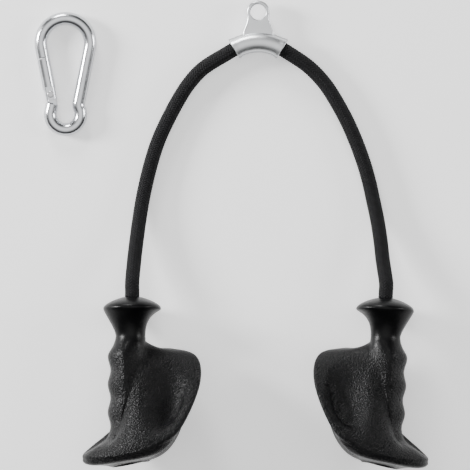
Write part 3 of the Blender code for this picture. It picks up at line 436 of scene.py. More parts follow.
# The cast sleeve. A curved aluminium tube, flared at both mouths, with a flat lug and an eye
# that stands on its outer side. It is cast in one, tumbled to a satin finish and left bare.
SLEEVE_WALL = 1.9 * MM
SLEEVE_LIP_FLARE = 0.75 * MM
SLEEVE_LIP_LENGTH = 3.2 * MM
SLEEVE_LIP_ROUND = 0.5 * MM
SLEEVE_FLARE_SHARE = 1.6
BORE_OVERRUN_SHARE = 1.1
LUG_THICKNESS = 7.0 * MM
LUG_EDGE_ROUND = 1.6 * MM
LUG_BASE_HALF_WIDTH = 12.6 * MM
LUG_LEAVE_SHARE = 0.45
LUG_ARRIVE_SHARES = (0.25, 0.65)
LUG_FLARE_STEPS = 14
EYE_ARC_OVERLAP = math.radians(20)
EYE_ARC_STEPS = 44
EYE_CHAMFER = 0.7 * MM
SHARP_ANGLE = math.radians(35)
AROUND_SLEEVE = 72
SLEEVE_STEPS = 60
bore_radius = ROPE_RADIUS + SEAT_GAP
sleeve_radius = bore_radius + SLEEVE_WALL
lip_radius = sleeve_radius + SLEEVE_LIP_FLARE


def finished_mesh(name, shape):
    """A mesh from a bmesh, with its doubles merged, faces outwards and corners kept sharp."""
    bmesh.ops.remove_doubles(shape, verts=shape.verts, dist=SEAT_GAP / 100)
    bmesh.ops.recalc_face_normals(shape, faces=shape.faces)
    mesh = bpy.data.meshes.new(name)
    shape.to_mesh(mesh)
    shape.free()
    mesh.shade_smooth()
    mesh.set_sharp_from_angle(angle=SHARP_ANGLE)
    return mesh


def add_object(name, mesh, place=None):
    made = bpy.data.objects.new(name, mesh)
    scene.collection.objects.link(made)
    if place is not None:
        mesh.transform(place)
    return made


def loft(name, rings, closed=False):
    """A skin over rings of points, with capped ends, or closed on itself."""
    shape = bmesh.new()
    rows = [[shape.verts.new(point) for point in ring] for ring in rings]
    pairs = list(zip(rows, rows[1:]))
    if closed:
        pairs.append((rows[-1], rows[0]))
    for low, high in pairs:
        for i in range(len(low)):
            j = (i + 1) % len(low)
            shape.faces.new((low[i], low[j], high[j], high[i]))
    if not closed:
        shape.faces.new(rows[0])
        shape.faces.new(rows[-1])
    return finished_mesh(name, shape)


def rings_along(line, radii, sides, upright):
    """Rings square to a flat line of points: upright is the normal of its plane."""
    rings = []
    for i, point in enumerate(line):
        ahead = line[min(i + 1, len(line) - 1)]
        behind = line[max(i - 1, 0)]
        along = (ahead - behind).normalized()
        across = along.cross(upright).normalized()
        rings.append([
            point + (across * math.cos(turn) + upright * math.sin(turn)) * radii[i]
            for turn in (math.tau * k / sides for k in range(sides))
        ])
    return rings


def turned(name, profile, steps, closed):
    """A profile of (radius, height) points spun round the Y axis."""
    shape = bmesh.new()
    points = [shape.verts.new((radius, height, 0)) for radius, height in profile]
    edges = [shape.edges.new(pair) for pair in zip(points, points[1:])]
    if closed:
        edges.append(shape.edges.new((points[-1], points[0])))
    bmesh.ops.spin(
        shape, geom=points + edges, cent=(0, 0, 0), axis=(0, 1, 0),
        angle=math.tau, steps=steps, use_merge=True,
    )
    return finished_mesh(name, shape)


def bezier(start, leave, arrive, end, share):
    rest = 1 - share
    return (
        start * rest ** 3 + leave * (3 * rest * rest * share)
        + arrive * (3 * rest * share * share) + end * share ** 3
    )


def smooth_step(value):
    value = min(1, max(0, value))
    return value * value * (3 - 2 * value)


def cut_with(target, cutters):
    """Cuts or joins each (cutter, operation) in turn and leaves one plain mesh."""
    for cutter, operation in cutters:
        change = target.modifiers.new(cutter.name, "BOOLEAN")
        change.operation = operation
        change.object = cutter
    graph = bpy.context.evaluated_depsgraph_get()
    mesh = bpy.data.meshes.new_from_object(target.evaluated_get(graph))
    target.modifiers.clear()
    target.data = mesh
    for cutter, _ in cutters:
        bpy.data.objects.remove(cutter)
    mesh.shade_smooth()
    mesh.set_sharp_from_angle(angle=SHARP_ANGLE)
    return target


def lug_outline():
    """The lug's edge: the ring over the eye, then nearly straight sides that spread downwards."""
    ring_radius = EYE_HOLE_RADIUS + EYE_RING_WIDTH
    outline = []
    for k in range(EYE_ARC_STEPS + 1):
        turn = -EYE_ARC_OVERLAP + (math.pi + 2 * EYE_ARC_OVERLAP) * k / EYE_ARC_STEPS
        outline.append(Vector((math.cos(turn), math.sin(turn), 0)) * ring_radius)
    foot = Vector((-LUG_BASE_HALF_WIDTH, sleeve_radius - EYE_RISE, 0))
    waist = outline[-1]
    rise = (foot.y - waist.y) / 2
    across, down = LUG_ARRIVE_SHARES
    left = [
        bezier(
            waist, waist - Vector((0, ring_radius * LUG_LEAVE_SHARE, 0)),
            foot + Vector((-rise * across, -rise * down, 0)), foot, k / LUG_FLARE_STEPS,
        )
        for k in range(1, LUG_FLARE_STEPS + 1)
    ]
    under = Vector((foot.x, -EYE_RISE, 0))
    right = [Vector((-point.x, point.y, 0)) for point in reversed(left + [under])]
    return outline + left + [under] + right


def cast_finish():
    """Satin cast aluminium: a fine tumbled grain, duller where the mould's skin is left."""
    made, shader, add = new_material(
        "cast_aluminium", 0.34, 1.0, Specular_Tint=(0.45, 0.45, 0.46, 1.0),
    )
    place = add.node("ShaderNodeTexCoord", out="Object")
    grain = add.node("ShaderNodeTexNoise", None, {"Vector": place, "Scale": 1400.0, "Detail": 4.0})
    cloud = add.node("ShaderNodeTexNoise", None, {"Vector": place, "Scale": 90.0, "Detail": 2.0})
    colour = add.node("ShaderNodeValToRGB", {"stops": [
        (0.3, (0.56, 0.57, 0.58)), (0.7, (0.66, 0.67, 0.68)),
    ]}, {"Fac": cloud * 0.6 + grain * 0.4})
    bump = add.node("ShaderNodeBump", None, {
        "Height": grain, "Distance": 0.03 * MM, "Strength": 0.6,
    })
    attach(made, shader, Base_Color=colour, Normal=bump, Roughness=0.24 + cloud * 0.2)
    return made


def cast_sleeve():
    """The flared tube with its lug, bored for the rope and for the eye."""
    upright = Vector((0, 0, 1))
    lip_angle = SLEEVE_LIP_LENGTH / SLEEVE_BEND_RADIUS
    round_angle = SLEEVE_LIP_ROUND / SLEEVE_BEND_RADIUS
    angles, radii = [], []
    for k in range(SLEEVE_STEPS + 1):
        angle = SLEEVE_HALF_ANGLE * (2 * k / SLEEVE_STEPS - 1)
        from_mouth = SLEEVE_HALF_ANGLE - abs(angle)
        flare = smooth_step(1 - from_mouth / (SLEEVE_FLARE_SHARE * lip_angle))
        angles.append(angle)
        radii.append(sleeve_radius + SLEEVE_LIP_FLARE * flare)
    radii[0] = radii[-1] = lip_radius - SLEEVE_LIP_ROUND
    for place, angle in ((1, angles[0] + round_angle), (-1, angles[-1] - round_angle)):
        angles.insert(place, angle)
        radii.insert(place, lip_radius)
    tube_rings = rings_along([sleeve_point(a) for a in angles], radii, AROUND_SLEEVE, upright)
    sleeve = add_object("cast_sleeve", loft("cast_sleeve", tube_rings))

    shape = bmesh.new()
    edge = [shape.verts.new(p - upright * (LUG_THICKNESS / 2)) for p in lug_outline()]
    face = shape.faces.new(edge)
    raised = bmesh.ops.extrude_face_region(shape, geom=[face])
    top = [v for v in raised["geom"] if isinstance(v, bmesh.types.BMVert)]
    bmesh.ops.translate(shape, verts=top, vec=upright * LUG_THICKNESS)
    lug = add_object("lug", finished_mesh("lug", shape))
    rounding = lug.modifiers.new("edge_round", "BEVEL")
    rounding.width = LUG_EDGE_ROUND
    rounding.segments = 5
    rounding.limit_method = "ANGLE"

    half = LUG_THICKNESS / 2
    hole = turned("eye_hole", [
        (0, -2 * half), (EYE_HOLE_RADIUS + EYE_CHAMFER + half, -2 * half),
        (EYE_HOLE_RADIUS + EYE_CHAMFER, -half), (EYE_HOLE_RADIUS, -half + EYE_CHAMFER),
        (EYE_HOLE_RADIUS, half - EYE_CHAMFER), (EYE_HOLE_RADIUS + EYE_CHAMFER, half),
        (EYE_HOLE_RADIUS + EYE_CHAMFER + half, 2 * half), (0, 2 * half),
    ], AROUND_SLEEVE, closed=False)
    hole.transform(Matrix.Rotation(math.pi / 2, 4, "X"))
    over = BORE_OVERRUN_SHARE * SLEEVE_HALF_ANGLE
    bore_line = [sleeve_point(over * (2 * k / SLEEVE_STEPS - 1)) for k in range(SLEEVE_STEPS + 1)]
    bore_rings = rings_along(bore_line, [bore_radius] * len(bore_line), AROUND_SLEEVE, upright)
    cut_with(sleeve, [
        (lug, "UNION"),
        (add_object("eye_hole", hole), "DIFFERENCE"),
        (add_object("rope_channel", loft("rope_channel", bore_rings)), "DIFFERENCE"),
    ])
    sleeve.data.transform(Matrix.Translation(eye_centre))
    sleeve.data.materials.clear()
    sleeve.data.materials.append(cast_finish())
    dress(sleeve, "eye_sleeve", "sleeve")


cast_sleeve()


# What each handle holds. A nylon tube lines its column and ends in a collar in the pocket. The
# rope runs through it into a crimped aluminium ferrule, which pulls up on a steel washer under
# the tube, and a rubber plug closes the pocket. All are turned or moulded round the rope.
HANDLE_LENGTH = 133.0 * MM
CORE_WALL = 2.6 * MM
CORE_TOP_COVER = 4.0 * MM
CORE_COLLAR_WIDTH = 2.2 * MM
CORE_COLLAR_LENGTH = 3.0 * MM
WASHER_THICKNESS = 2.0 * MM
WASHER_RIM = 4.6 * MM
CRIMP_WALL = 2.4 * MM
CRIMP_LENGTH = 13.0 * MM
CRIMP_GROOVE = 0.5 * MM
CRIMP_WAISTS = 3
CRIMP_WAIST_SHARES = (0.3, 0.45, 0.75)
ROPE_TAIL = 1.5 * MM
PLUG_HEAD_LENGTH = 2.6 * MM
PLUG_HEAD_RIM = 2.0 * MM
PLUG_SHANK_LENGTH = 3.4 * MM
PLUG_DISH = 0.8 * MM
EDGE_BREAK = 0.35 * MM
AROUND_INNER = 96
ROPE_END_STEPS = 40
core_radius = bore_radius + CORE_WALL
collar_radius = core_radius + CORE_COLLAR_WIDTH
pocket_radius = collar_radius + SEAT_GAP
washer_radius = bore_radius + WASHER_RIM
crimp_radius = bore_radius + CRIMP_WALL
plug_head_radius = pocket_radius + PLUG_HEAD_RIM
plug_seat_drop = HANDLE_LENGTH - PLUG_HEAD_LENGTH - SEAT_GAP
plug_top_drop = HANDLE_LENGTH - PLUG_HEAD_LENGTH - PLUG_SHANK_LENGTH
rope_end_drop = plug_top_drop - SEAT_GAP
crimp_bottom_drop = rope_end_drop - ROPE_TAIL
crimp_top_drop = crimp_bottom_drop - CRIMP_LENGTH
washer_top_drop = crimp_top_drop - SEAT_GAP - WASHER_THICKNESS
core_bottom_drop = washer_top_drop - SEAT_GAP


def mottled_finish(name, dark, pale, roughness, grain_size, grain_depth, metallic=0.0, **plain):
    """A plain stock finish: a fine grain over soft clouds, in the colour, gloss and relief."""
    made, shader, add = new_material(name, roughness, metallic, **plain)
    place = add.node("ShaderNodeTexCoord", out="Object")
    grain = add.node("ShaderNodeTexNoise", None, {
        "Vector": place, "Scale": 1 / grain_size, "Detail": 4.0,
    })
    cloud = add.node("ShaderNodeTexNoise", None, {"Vector": place, "Scale": 110.0, "Detail": 2.0})
    colour = add.node("ShaderNodeValToRGB", {"stops": [(0.3, dark), (0.7, pale)]}, {
        "Fac": grain * 0.5 + cloud * 0.5,
    })
    bump = add.node("ShaderNodeBump", None, {
        "Height": grain, "Distance": grain_depth, "Strength": 0.6,
    })
    attach(
        made, shader, Base_Color=colour, Normal=bump,
        Roughness=roughness * 0.75 + cloud * (roughness * 0.5),
    )
    return made


def broken_edges(corners):
    """A turned profile whose corners each get a small flat. Points on the axis stay."""
    profile = []
    for i, corner in enumerate(corners):
        here = Vector(corner)
        if here.x == 0:
            profile.append(corner)
            continue
        for other in (corners[i - 1], corners[(i + 1) % len(corners)]):
            way = Vector(other) - here
            profile.append(here + way.normalized() * min(EDGE_BREAK, way.length / 3))
    return profile


def ferrule_profile():
    """The crimped ferrule, with the waists that the jaws press into it."""
    pitch = CRIMP_LENGTH / CRIMP_WAISTS
    waist = crimp_radius - CRIMP_GROOVE
    press, floor, rise = CRIMP_WAIST_SHARES
    outside = []
    for k in range(CRIMP_WAISTS):
        start = -crimp_top_drop - k * pitch
        outside += [
            (crimp_radius, start), (crimp_radius, start - pitch * press),
            (waist, start - pitch * floor), (waist, start - pitch * rise),
        ]
    return outside + [
        (crimp_radius, -crimp_bottom_drop), (bore_radius, -crimp_bottom_drop),
        (bore_radius, -crimp_top_drop),
    ]


core_top = -(CORE_TOP_COVER + SEAT_GAP)
core_shoulder = CORE_COLLAR_LENGTH - core_bottom_drop
plug_shank_radius = pocket_radius - SEAT_GAP
plug_seat = PLUG_HEAD_LENGTH - HANDLE_LENGTH
washer_bottom = -washer_top_drop - WASHER_THICKNESS
inner_profiles = {
    "core_tube": [
        (bore_radius, core_top), (core_radius, core_top), (core_radius, core_shoulder),
        (collar_radius, core_shoulder), (collar_radius, -core_bottom_drop),
        (bore_radius, -core_bottom_drop),
    ],
    "thrust_washer": [
        (bore_radius, -washer_top_drop), (washer_radius, -washer_top_drop),
        (washer_radius, washer_bottom), (bore_radius, washer_bottom),
    ],
    "crimp_ferrule": ferrule_profile(),
    "end_plug": [
        (0, -plug_top_drop), (plug_shank_radius, -plug_top_drop), (plug_shank_radius, plug_seat),
        (plug_head_radius, plug_seat), (plug_head_radius, -HANDLE_LENGTH),
        (pocket_radius, -HANDLE_LENGTH), (plug_shank_radius - PLUG_DISH, PLUG_DISH - HANDLE_LENGTH),
        (0, PLUG_DISH - HANDLE_LENGTH),
    ],
}
nylon = mottled_finish(
    "nylon_core", (0.035, 0.035, 0.038), (0.060, 0.060, 0.065), 0.5, 0.4 * MM, 0.02 * MM,
)
crimped = mottled_finish(
    "crimp_aluminium", (0.56, 0.57, 0.58), (0.66, 0.67, 0.68), 0.32, 0.5 * MM, 0.03 * MM, 1.0,
)
zinc = mottled_finish(
    "zinc_plated_steel", (0.56, 0.57, 0.59), (0.66, 0.67, 0.69), 0.2, 0.7 * MM, 0.012 * MM, 1.0,
    Specular_Tint=(0.35, 0.35, 0.36, 1.0),
)
plug_rubber = mottled_finish(
    "rubber_plug", (0.003, 0.003, 0.003), (0.006, 0.006, 0.006), 0.55, 0.5 * MM, 0.05 * MM,
    Specular_IOR_Level=0.2,
)
for word in ("left", "right"):
    for base, finish, slot, body in (
        ("core_tube", nylon, "nylon_core", "_handle"),
        ("thrust_washer", zinc, "zinc_plated_steel", "_handle"),
        ("crimp_ferrule", crimped, "crimp_aluminium", "_arm"),
        ("end_plug", plug_rubber, "rubber_plug", "_handle"),
    ):
        profile = broken_edges(inner_profiles[base])
        mesh = turned(f"{base}_{word}_turned", profile, AROUND_INNER, base != "end_plug")
        mesh.materials.append(finish)
        piece = add_object(mesh.name, mesh, handle_axes[word])
        dress(piece, f"{base}_{word}", word + body)

    # The strands are cut on a slant, so their line stops half a strand short of the rope's end.
    strands_drop = rope_end_drop - STRAND_WIDTH / 2
    held = [
        handle_axes[word] @ Vector((0, -strands_drop * k / ROPE_END_STEPS, 0))
        for k in range(ROPE_END_STEPS + 1)
    ]
    end = braided(f"rope_end_{word}_braid", held, HELD_RINGS_PER_CROSSING)
    dress(end, "rope_end_" + word, word + "_arm")


# The handles. Each is one moulding of black rubber over the rope's core tube: a flange for the
# edge of the fist, a column with finger waves, and a dished palm rest that wraps its foot.
# The mould is spark-eroded, which leaves a pebble grain that fades out up the neck.
FLANGE_RADIUS = 23.5 * MM
FLANGE_RIM_DROP = 9.4 * MM
FLANGE_MOUTH_LIP = 1.0 * MM
FLANGE_CROWN_SHARES = (0.3, 0.12, 0.45)
UNDER_FLANGE_FINGER_SHARES = (0.14, 0.1, 0.33)
UNDER_FLANGE_PALM_SHARES = (0.12, 0.85)
NECK_DROP = 31.0 * MM
NECK_RADIUS = 12.1 * MM
NECK_OFFSET = 1.3 * MM
COLUMN_FINGER_RADIUS = 18.7 * MM
COLUMN_FRONT_RADIUS = 15.4 * MM
COLUMN_BACK_RADIUS = 14.8 * MM
COLUMN_PALM_RADIUS = 12.6 * MM
COLUMN_SWELL_LENGTH = 17.0 * MM
COLUMN_RIDGE = 1.8 * MM
COLUMN_RIDGE_TURN = math.radians(108)
COLUMN_RIDGE_SPREAD = math.radians(26)
FINGER_PITCH = 22.6 * MM
FINGER_FIRST_DROP = 48.0 * MM
FINGER_DEPTH = 1.1 * MM
WING_REACH = 56.0 * MM
RIM_ROUND = 2.2 * MM
BASE_RADIUS = 15.5 * MM
BASE_LIP = 1.6 * MM
BASE_SLANT = 3.2 * MM
AROUND_HANDLE = 144
ANGLE_CROWDING_SHARE = 0.45
FLANGE_STEPS = 14
UNDER_FLANGE_STEPS = 16
COLUMN_STEPS = 54
DISH_STEPS = 34
RIM_STEPS = 9
RIM_NUDGE = math.radians(1)
DISH_ARRIVE_SHARE = 0.45
HULL_STEPS = 34

# The palm rest, at every 20 degrees round the column from the palm side to the front. Each
# row: the rim's reach as a share of the wing's reach, its drop and the foot's drop as shares
# of the handle's length, how far the dish follows the column down, as the same share, the
# turn-up of the rim in degrees, and how many degrees the rim's point lies on round the column.
RIM_SHARES = [
    (0.945, 0.376, 0.268, 0.01, -45.0, -2.0),
    (1.012, 0.570, 0.275, 0.07, -28.0, -2.0),
    (0.872, 0.835, 0.300, 0.13, -30.0, 0.0),
    (0.680, 0.925, 0.355, 0.19, -36.0, 0.0),
    (0.595, 0.968, 0.470, 0.22, -36.0, 0.0),
    (0.565, 0.984, 0.660, 0.16, -30.0, 0.0),
    (0.572, 0.996, 0.840, 0.04, -20.0, 0.0),
    (0.622, 0.999, 0.846, 0.04, -10.0, 0.0),
    (0.700, 0.990, 0.845, 0.04, -4.0, 0.0),
    (0.708, 0.965, 0.830, 0.03, 0.0, 0.0),
    (0.598, 0.900, 0.797, 0.03, 5.0, 0.0),
    (0.505, 0.832, 0.737, 0.03, 6.0, 2.0),
    (0.455, 0.755, 0.660, 0.03, 5.0, 5.0),
    (0.415, 0.636, 0.551, 0.02, 5.0, 9.0),
    (0.385, 0.497, 0.420, 0.02, 0.0, 13.0),
    (0.365, 0.372, 0.315, 0.01, -20.0, 15.0),
    (0.400, 0.328, 0.268, 0.00, -45.0, 12.0),
    (0.640, 0.324, 0.264, 0.00, -50.0, 4.0),
]
# The hull under it: how far the rim's lip wraps before it starts, how much less on the side that
# lies on the table and how that side is turned, and how its curve leaves the rim and comes in.
# At the front and the foot it bellies out below the lip, past a thin groove.
HULL_TURN = math.radians(150)
HULL_UNDER_TURN = math.radians(48)
HULL_UNDER_SHIFT = math.radians(20)
HULL_BELLY_TURN = math.radians(100)
HULL_BELLY_SHIFT = math.radians(30)
HULL_BELLY_SHARE = 0.2
HULL_BELLY_SPREAD = 1.6
HULL_GROOVE = 0.6 * MM
HULL_GROOVE_SHARE = 0.1
HULL_LEAVE_SHARE = 0.27
HULL_ARRIVE_SHARE = 0.34
HULL_ARRIVE_SLOPE = 0.24
HULL_DEPTH_SHARE = 0.02
PALM_OPENING = Vector((-0.40, 0.58, 0.71)).normalized()
# The column, the dish and the rim flow into each other like a stretched skin, and the palm is
# hollowed, across by shares of the wing's reach and down by shares of the handle's length.
EASE_PASSES = 360
EASE_STEP_SHARE = 0.8
EASE_SWELL_SHARE = 0.3
EASE_EDGE_SHARE = 0.45
EASE_FRONT_TURN = math.radians(112)
EASE_FRONT_FADE = math.radians(45)
EASE_DISH_TURN = math.radians(140)
EASE_DISH_SHARE = 0.75
EASE_BACK_TURN = math.radians(100)
EASE_BACK_FADE = math.radians(50)
PALM_DEPTH = 13.0 * MM
PALM_MIDDLE_SHARES = (0.50, 0.66)
PALM_SPREAD_SHARES = (0.48, 0.31)
PALM_EDGE_POWER = 3
PALM_MASK_GAIN = 4


def round_table(column, angle):
    """A column of the rim's table at any angle, on a smooth closed curve."""
    values = [row[column] for row in RIM_SHARES]
    place = angle / math.tau * len(values)
    i = math.floor(place)
    near = [values[(i + k) % len(values)] for k in (-1, 0, 1, 2)]
    return catmull(*near, place - i)


def radial(angle):
    """A unit step out from the handle's axis."""
    return Vector((math.cos(angle), 0, math.sin(angle)))


def rim_point(angle):
    """The palm rest's edge at an angle, from the handle's top."""
    drop = round_table(1, angle) * HANDLE_LENGTH
    turned_on = angle + math.radians(round_table(5, angle))
    return radial(turned_on) * (round_table(0, angle) * WING_REACH) - Vector((0, drop, 0))


def column_radius(angle, drop):
    """The column's radius at an angle and a drop below the rope's face."""
    swell = smooth_step((drop - NECK_DROP) / COLUMN_SWELL_LENGTH)
    wave = math.cos(math.tau * (drop - FINGER_FIRST_DROP) / FINGER_PITCH)
    finger = COLUMN_FINGER_RADIUS + FINGER_DEPTH * wave
    side = COLUMN_PALM_RADIUS if math.cos(angle) > 0 else finger
    face = COLUMN_FRONT_RADIUS if math.sin(angle) > 0 else COLUMN_BACK_RADIUS
    full = side * math.cos(angle) ** 2 + face * math.sin(angle) ** 2
    off_ridge = (angle - COLUMN_RIDGE_TURN) / COLUMN_RIDGE_SPREAD
    full += COLUMN_RIDGE * math.exp(-off_ridge * off_ridge)
    neck = NECK_RADIUS - NECK_OFFSET * math.cos(angle)
    return neck + (full - neck) * swell


def flange_rings(angles):
    """From the rope's hole over the flange and down to the neck."""
    mouth = Vector((bore_radius + FLANGE_MOUTH_LIP, 0))
    rim = Vector((FLANGE_RADIUS, FLANGE_RIM_DROP))
    neck = Vector((NECK_RADIUS, NECK_DROP))
    across = Vector((FLANGE_RADIUS - mouth.x, 0))
    down = Vector((0, FLANGE_RIM_DROP))
    out, sink, turn_down = FLANGE_CROWN_SHARES
    rings = []
    for k in range(FLANGE_STEPS + 1):
        spot = bezier(
            mouth, mouth + across * out + down * sink, rim - down * turn_down, rim,
            k / FLANGE_STEPS,
        )
        rings.append([radial(a) * spot.x - Vector((0, spot.y, 0)) for a in angles])
    fall = Vector((0, NECK_DROP - FLANGE_RIM_DROP))
    step_in = Vector((FLANGE_RADIUS - NECK_RADIUS, 0))
    leave, inset, arrive = UNDER_FLANGE_FINGER_SHARES
    palm_leave, palm_arrive = UNDER_FLANGE_PALM_SHARES
    for k in range(1, UNDER_FLANGE_STEPS + 1):
        share = k / UNDER_FLANGE_STEPS
        finger_side = bezier(
            rim, rim + fall * leave, neck + step_in * inset - fall * arrive, neck, share
        )
        palm_side = bezier(rim, rim + fall * palm_leave, neck - fall * palm_arrive, neck, share)
        ring = []
        for a in angles:
            spot = palm_side.lerp(finger_side, (1 - math.cos(a)) / 2)
            off = NECK_OFFSET * smooth_step(share) * math.cos(a)
            ring.append(radial(a) * (spot.x - off) - Vector((0, spot.y, 0)))
        rings.append(ring)
    return rings


def palm_columns(angle):
    """One line of points down the handle at an angle: column, dish, rim and hull."""
    rim = rim_point(angle)
    tangent = (rim_point(angle + RIM_NUDGE) - rim_point(angle - RIM_NUDGE)).normalized()
    outward = PALM_OPENING.cross(tangent).normalized()
    turn_up = math.radians(round_table(4, angle))
    rise = outward * math.cos(turn_up) + PALM_OPENING * math.sin(turn_up)
    face = PALM_OPENING * math.cos(turn_up) - outward * math.sin(turn_up)
    core = rim - rise * RIM_ROUND

    foot_drop = round_table(2, angle) * HANDLE_LENGTH
    line = []
    for k in range(1, COLUMN_STEPS + 1):
        drop = NECK_DROP + (foot_drop - NECK_DROP) * k / COLUMN_STEPS
        line.append(radial(angle) * column_radius(angle, drop) - Vector((0, drop, 0)))

    foot = line[-1]
    sink = Vector((0, -round_table(3, angle) * HANDLE_LENGTH, 0))
    inner_edge = core + face * RIM_ROUND
    reach = (inner_edge - foot).length
    for k in range(1, DISH_STEPS + 1):
        line.append(bezier(
            foot, foot + sink, inner_edge - rise * (reach * DISH_ARRIVE_SHARE), inner_edge,
            k / DISH_STEPS,
        ))

    under = smooth_step(-math.sin(angle - HULL_UNDER_SHIFT))
    belly = smooth_step(HULL_BELLY_SPREAD * math.sin(angle - HULL_BELLY_SHIFT))
    wrap = HULL_TURN - HULL_UNDER_TURN * under - HULL_BELLY_TURN * belly + turn_up
    for k in range(1, RIM_STEPS + 1):
        turn = wrap * k / RIM_STEPS
        line.append(core + (face * math.cos(turn) + rise * math.sin(turn)) * RIM_ROUND)

    leave = rise * math.cos(wrap) - face * math.sin(wrap)
    base_drop = HANDLE_LENGTH + BASE_LIP - BASE_SLANT * math.cos(angle)
    base = radial(angle) * BASE_RADIUS - Vector((0, base_drop, 0))
    start = line[-1]
    span = (base - start).length
    arrive = (radial(angle) + Vector((0, HULL_ARRIVE_SLOPE, 0))).normalized()
    depth = HULL_DEPTH_SHARE * under + HULL_BELLY_SHARE * belly
    for k in range(1, HULL_STEPS + 1):
        share = k / HULL_STEPS
        spot = bezier(
            start, start + leave * (span * (HULL_LEAVE_SHARE + depth)),
            base + arrive * (span * (HULL_ARRIVE_SHARE + depth)), base, share,
        )
        off_groove = 2 * (share / HULL_GROOVE_SHARE - 1)
        line.append(spot - rise * (HULL_GROOVE * belly * math.exp(-off_groove * off_groove)))
    return line


def ease_share(angle, drop, step):
    """How far the skin may move at a step down a column: none at the neck, the rim and the back."""
    angle = (angle + math.pi) % math.tau - math.pi
    if angle > 0:
        dish = smooth_step((step / COLUMN_STEPS - EASE_DISH_SHARE) / (1 - EASE_DISH_SHARE))
        front_turn = EASE_FRONT_TURN + (EASE_DISH_TURN - EASE_FRONT_TURN) * dish
        share = smooth_step((front_turn - angle) / EASE_FRONT_FADE)
    else:
        share = smooth_step((EASE_BACK_TURN + angle) / EASE_BACK_FADE)
    if step < COLUMN_STEPS:
        swell = (drop - NECK_DROP) / COLUMN_SWELL_LENGTH
        share *= smooth_step((swell - EASE_SWELL_SHARE) / (1 - EASE_SWELL_SHARE))
    steps_left = COLUMN_STEPS + DISH_STEPS - 1 - step
    return share * smooth_step(steps_left / (EASE_EDGE_SHARE * DISH_STEPS))


def eased(columns, angles):
    """Lets the column flow into the dish like a stretched skin, and hollows the palm."""
    grid = numpy.array([[tuple(point) for point in line] for line in columns])
    shares = numpy.array([
        [ease_share(angle, -point.y, step) for step, point in enumerate(line)]
        for angle, line in zip(angles, columns)
    ])[..., None]
    for _ in range(EASE_PASSES):
        pull, total = 0, 0
        for way, axis in ((1, 0), (-1, 0), (1, 1), (-1, 1)):
            other = numpy.roll(grid, way, axis)
            nearness = 1 / (numpy.linalg.norm(other - grid, axis=2, keepdims=True) + SEAT_GAP)
            pull = pull + other * nearness
            total = total + nearness
        grid += (pull / total - grid) * shares * EASE_STEP_SHARE
    across = (grid[..., 0] / WING_REACH - PALM_MIDDLE_SHARES[0]) / PALM_SPREAD_SHARES[0]
    down = (-grid[..., 1] / HANDLE_LENGTH - PALM_MIDDLE_SHARES[1]) / PALM_SPREAD_SHARES[1]
    hollow = numpy.clip(1 - across ** 2 - down ** 2, 0, 1)[..., None] ** PALM_EDGE_POWER
    mask = numpy.clip(PALM_MASK_GAIN * shares, 0, 1)
    grid -= numpy.array(PALM_OPENING) * PALM_DEPTH * hollow * mask
    return [[Vector(point) for point in line] for line in grid.tolist()]


def bore_profile():
    """The handle's inside as (radius, drop), from the plug's seat up to the rope's hole."""
    collar_drop = core_bottom_drop - CORE_COLLAR_LENGTH - SEAT_GAP
    return [
        (plug_head_radius + SEAT_GAP, HANDLE_LENGTH),
        (plug_head_radius + SEAT_GAP, plug_seat_drop),
        (pocket_radius, plug_seat_drop), (pocket_radius, collar_drop),
        (core_radius + SEAT_GAP, collar_drop), (core_radius + SEAT_GAP, CORE_TOP_COVER),
        (bore_radius, CORE_TOP_COVER), (bore_radius, 0),
    ]


def rubber_finish():
    """Black moulded rubber: a raised pebble grain that fades out up the neck, over soft clouds."""
    made, shader, add = new_material("moulded_rubber", 0.3, Specular_IOR_Level=0.13)
    place = add.node("ShaderNodeTexCoord", out="Object")
    grained = add.node("ShaderNodeAttribute", {"attribute_name": "grain"}, out="Fac")
    bent = add.node("ShaderNodeTexNoise", None, {"Vector": place, "Scale": 300.0}, "Color")
    shaken = add.vector("ADD", place, add.vector("SCALE", bent, Scale=1.2 * MM))
    pebble = add.node("ShaderNodeTexVoronoi", {"feature": "SMOOTH_F1"}, {
        "Vector": shaken, "Scale": 820.0, "Smoothness": 0.5,
    }, "Distance")
    fine = add.node("ShaderNodeTexNoise", None, {"Vector": place, "Scale": 2600.0, "Detail": 2.0})
    cloud = add.node("ShaderNodeTexNoise", None, {"Vector": place, "Scale": 60.0, "Detail": 3.0})
    height = (1 - pebble) * (0.08 + grained * 0.92) + fine * 0.12
    bump = add.node("ShaderNodeBump", None, {
        "Height": height, "Distance": 0.6 * MM, "Strength": 1.0,
    })
    colour = add.node("ShaderNodeValToRGB", {"stops": [
        (0.2, (0.0014, 0.0014, 0.0016)), (0.9, (0.0034, 0.0034, 0.0037)),
    ]}, {"Fac": cloud * 0.6 + pebble * 0.4})
    attach(made, shader, Base_Color=colour, Normal=bump, Roughness=0.24 + cloud * 0.12)
    return made


def handle_rings():
    """The left handle's rings, from its flange down over the hull and up through the bore."""
    steps = [math.tau * k / AROUND_HANDLE for k in range(AROUND_HANDLE)]
    angles = [a - ANGLE_CROWDING_SHARE * math.sin(a) for a in steps]
    rings = flange_rings(angles)
    columns = eased([palm_columns(a) for a in angles], angles)
    rings += [list(ring) for ring in zip(*columns)]
    for radius, drop in bore_profile():
        rings.append([radial(a) * radius - Vector((0, drop, 0)) for a in angles])
    return rings


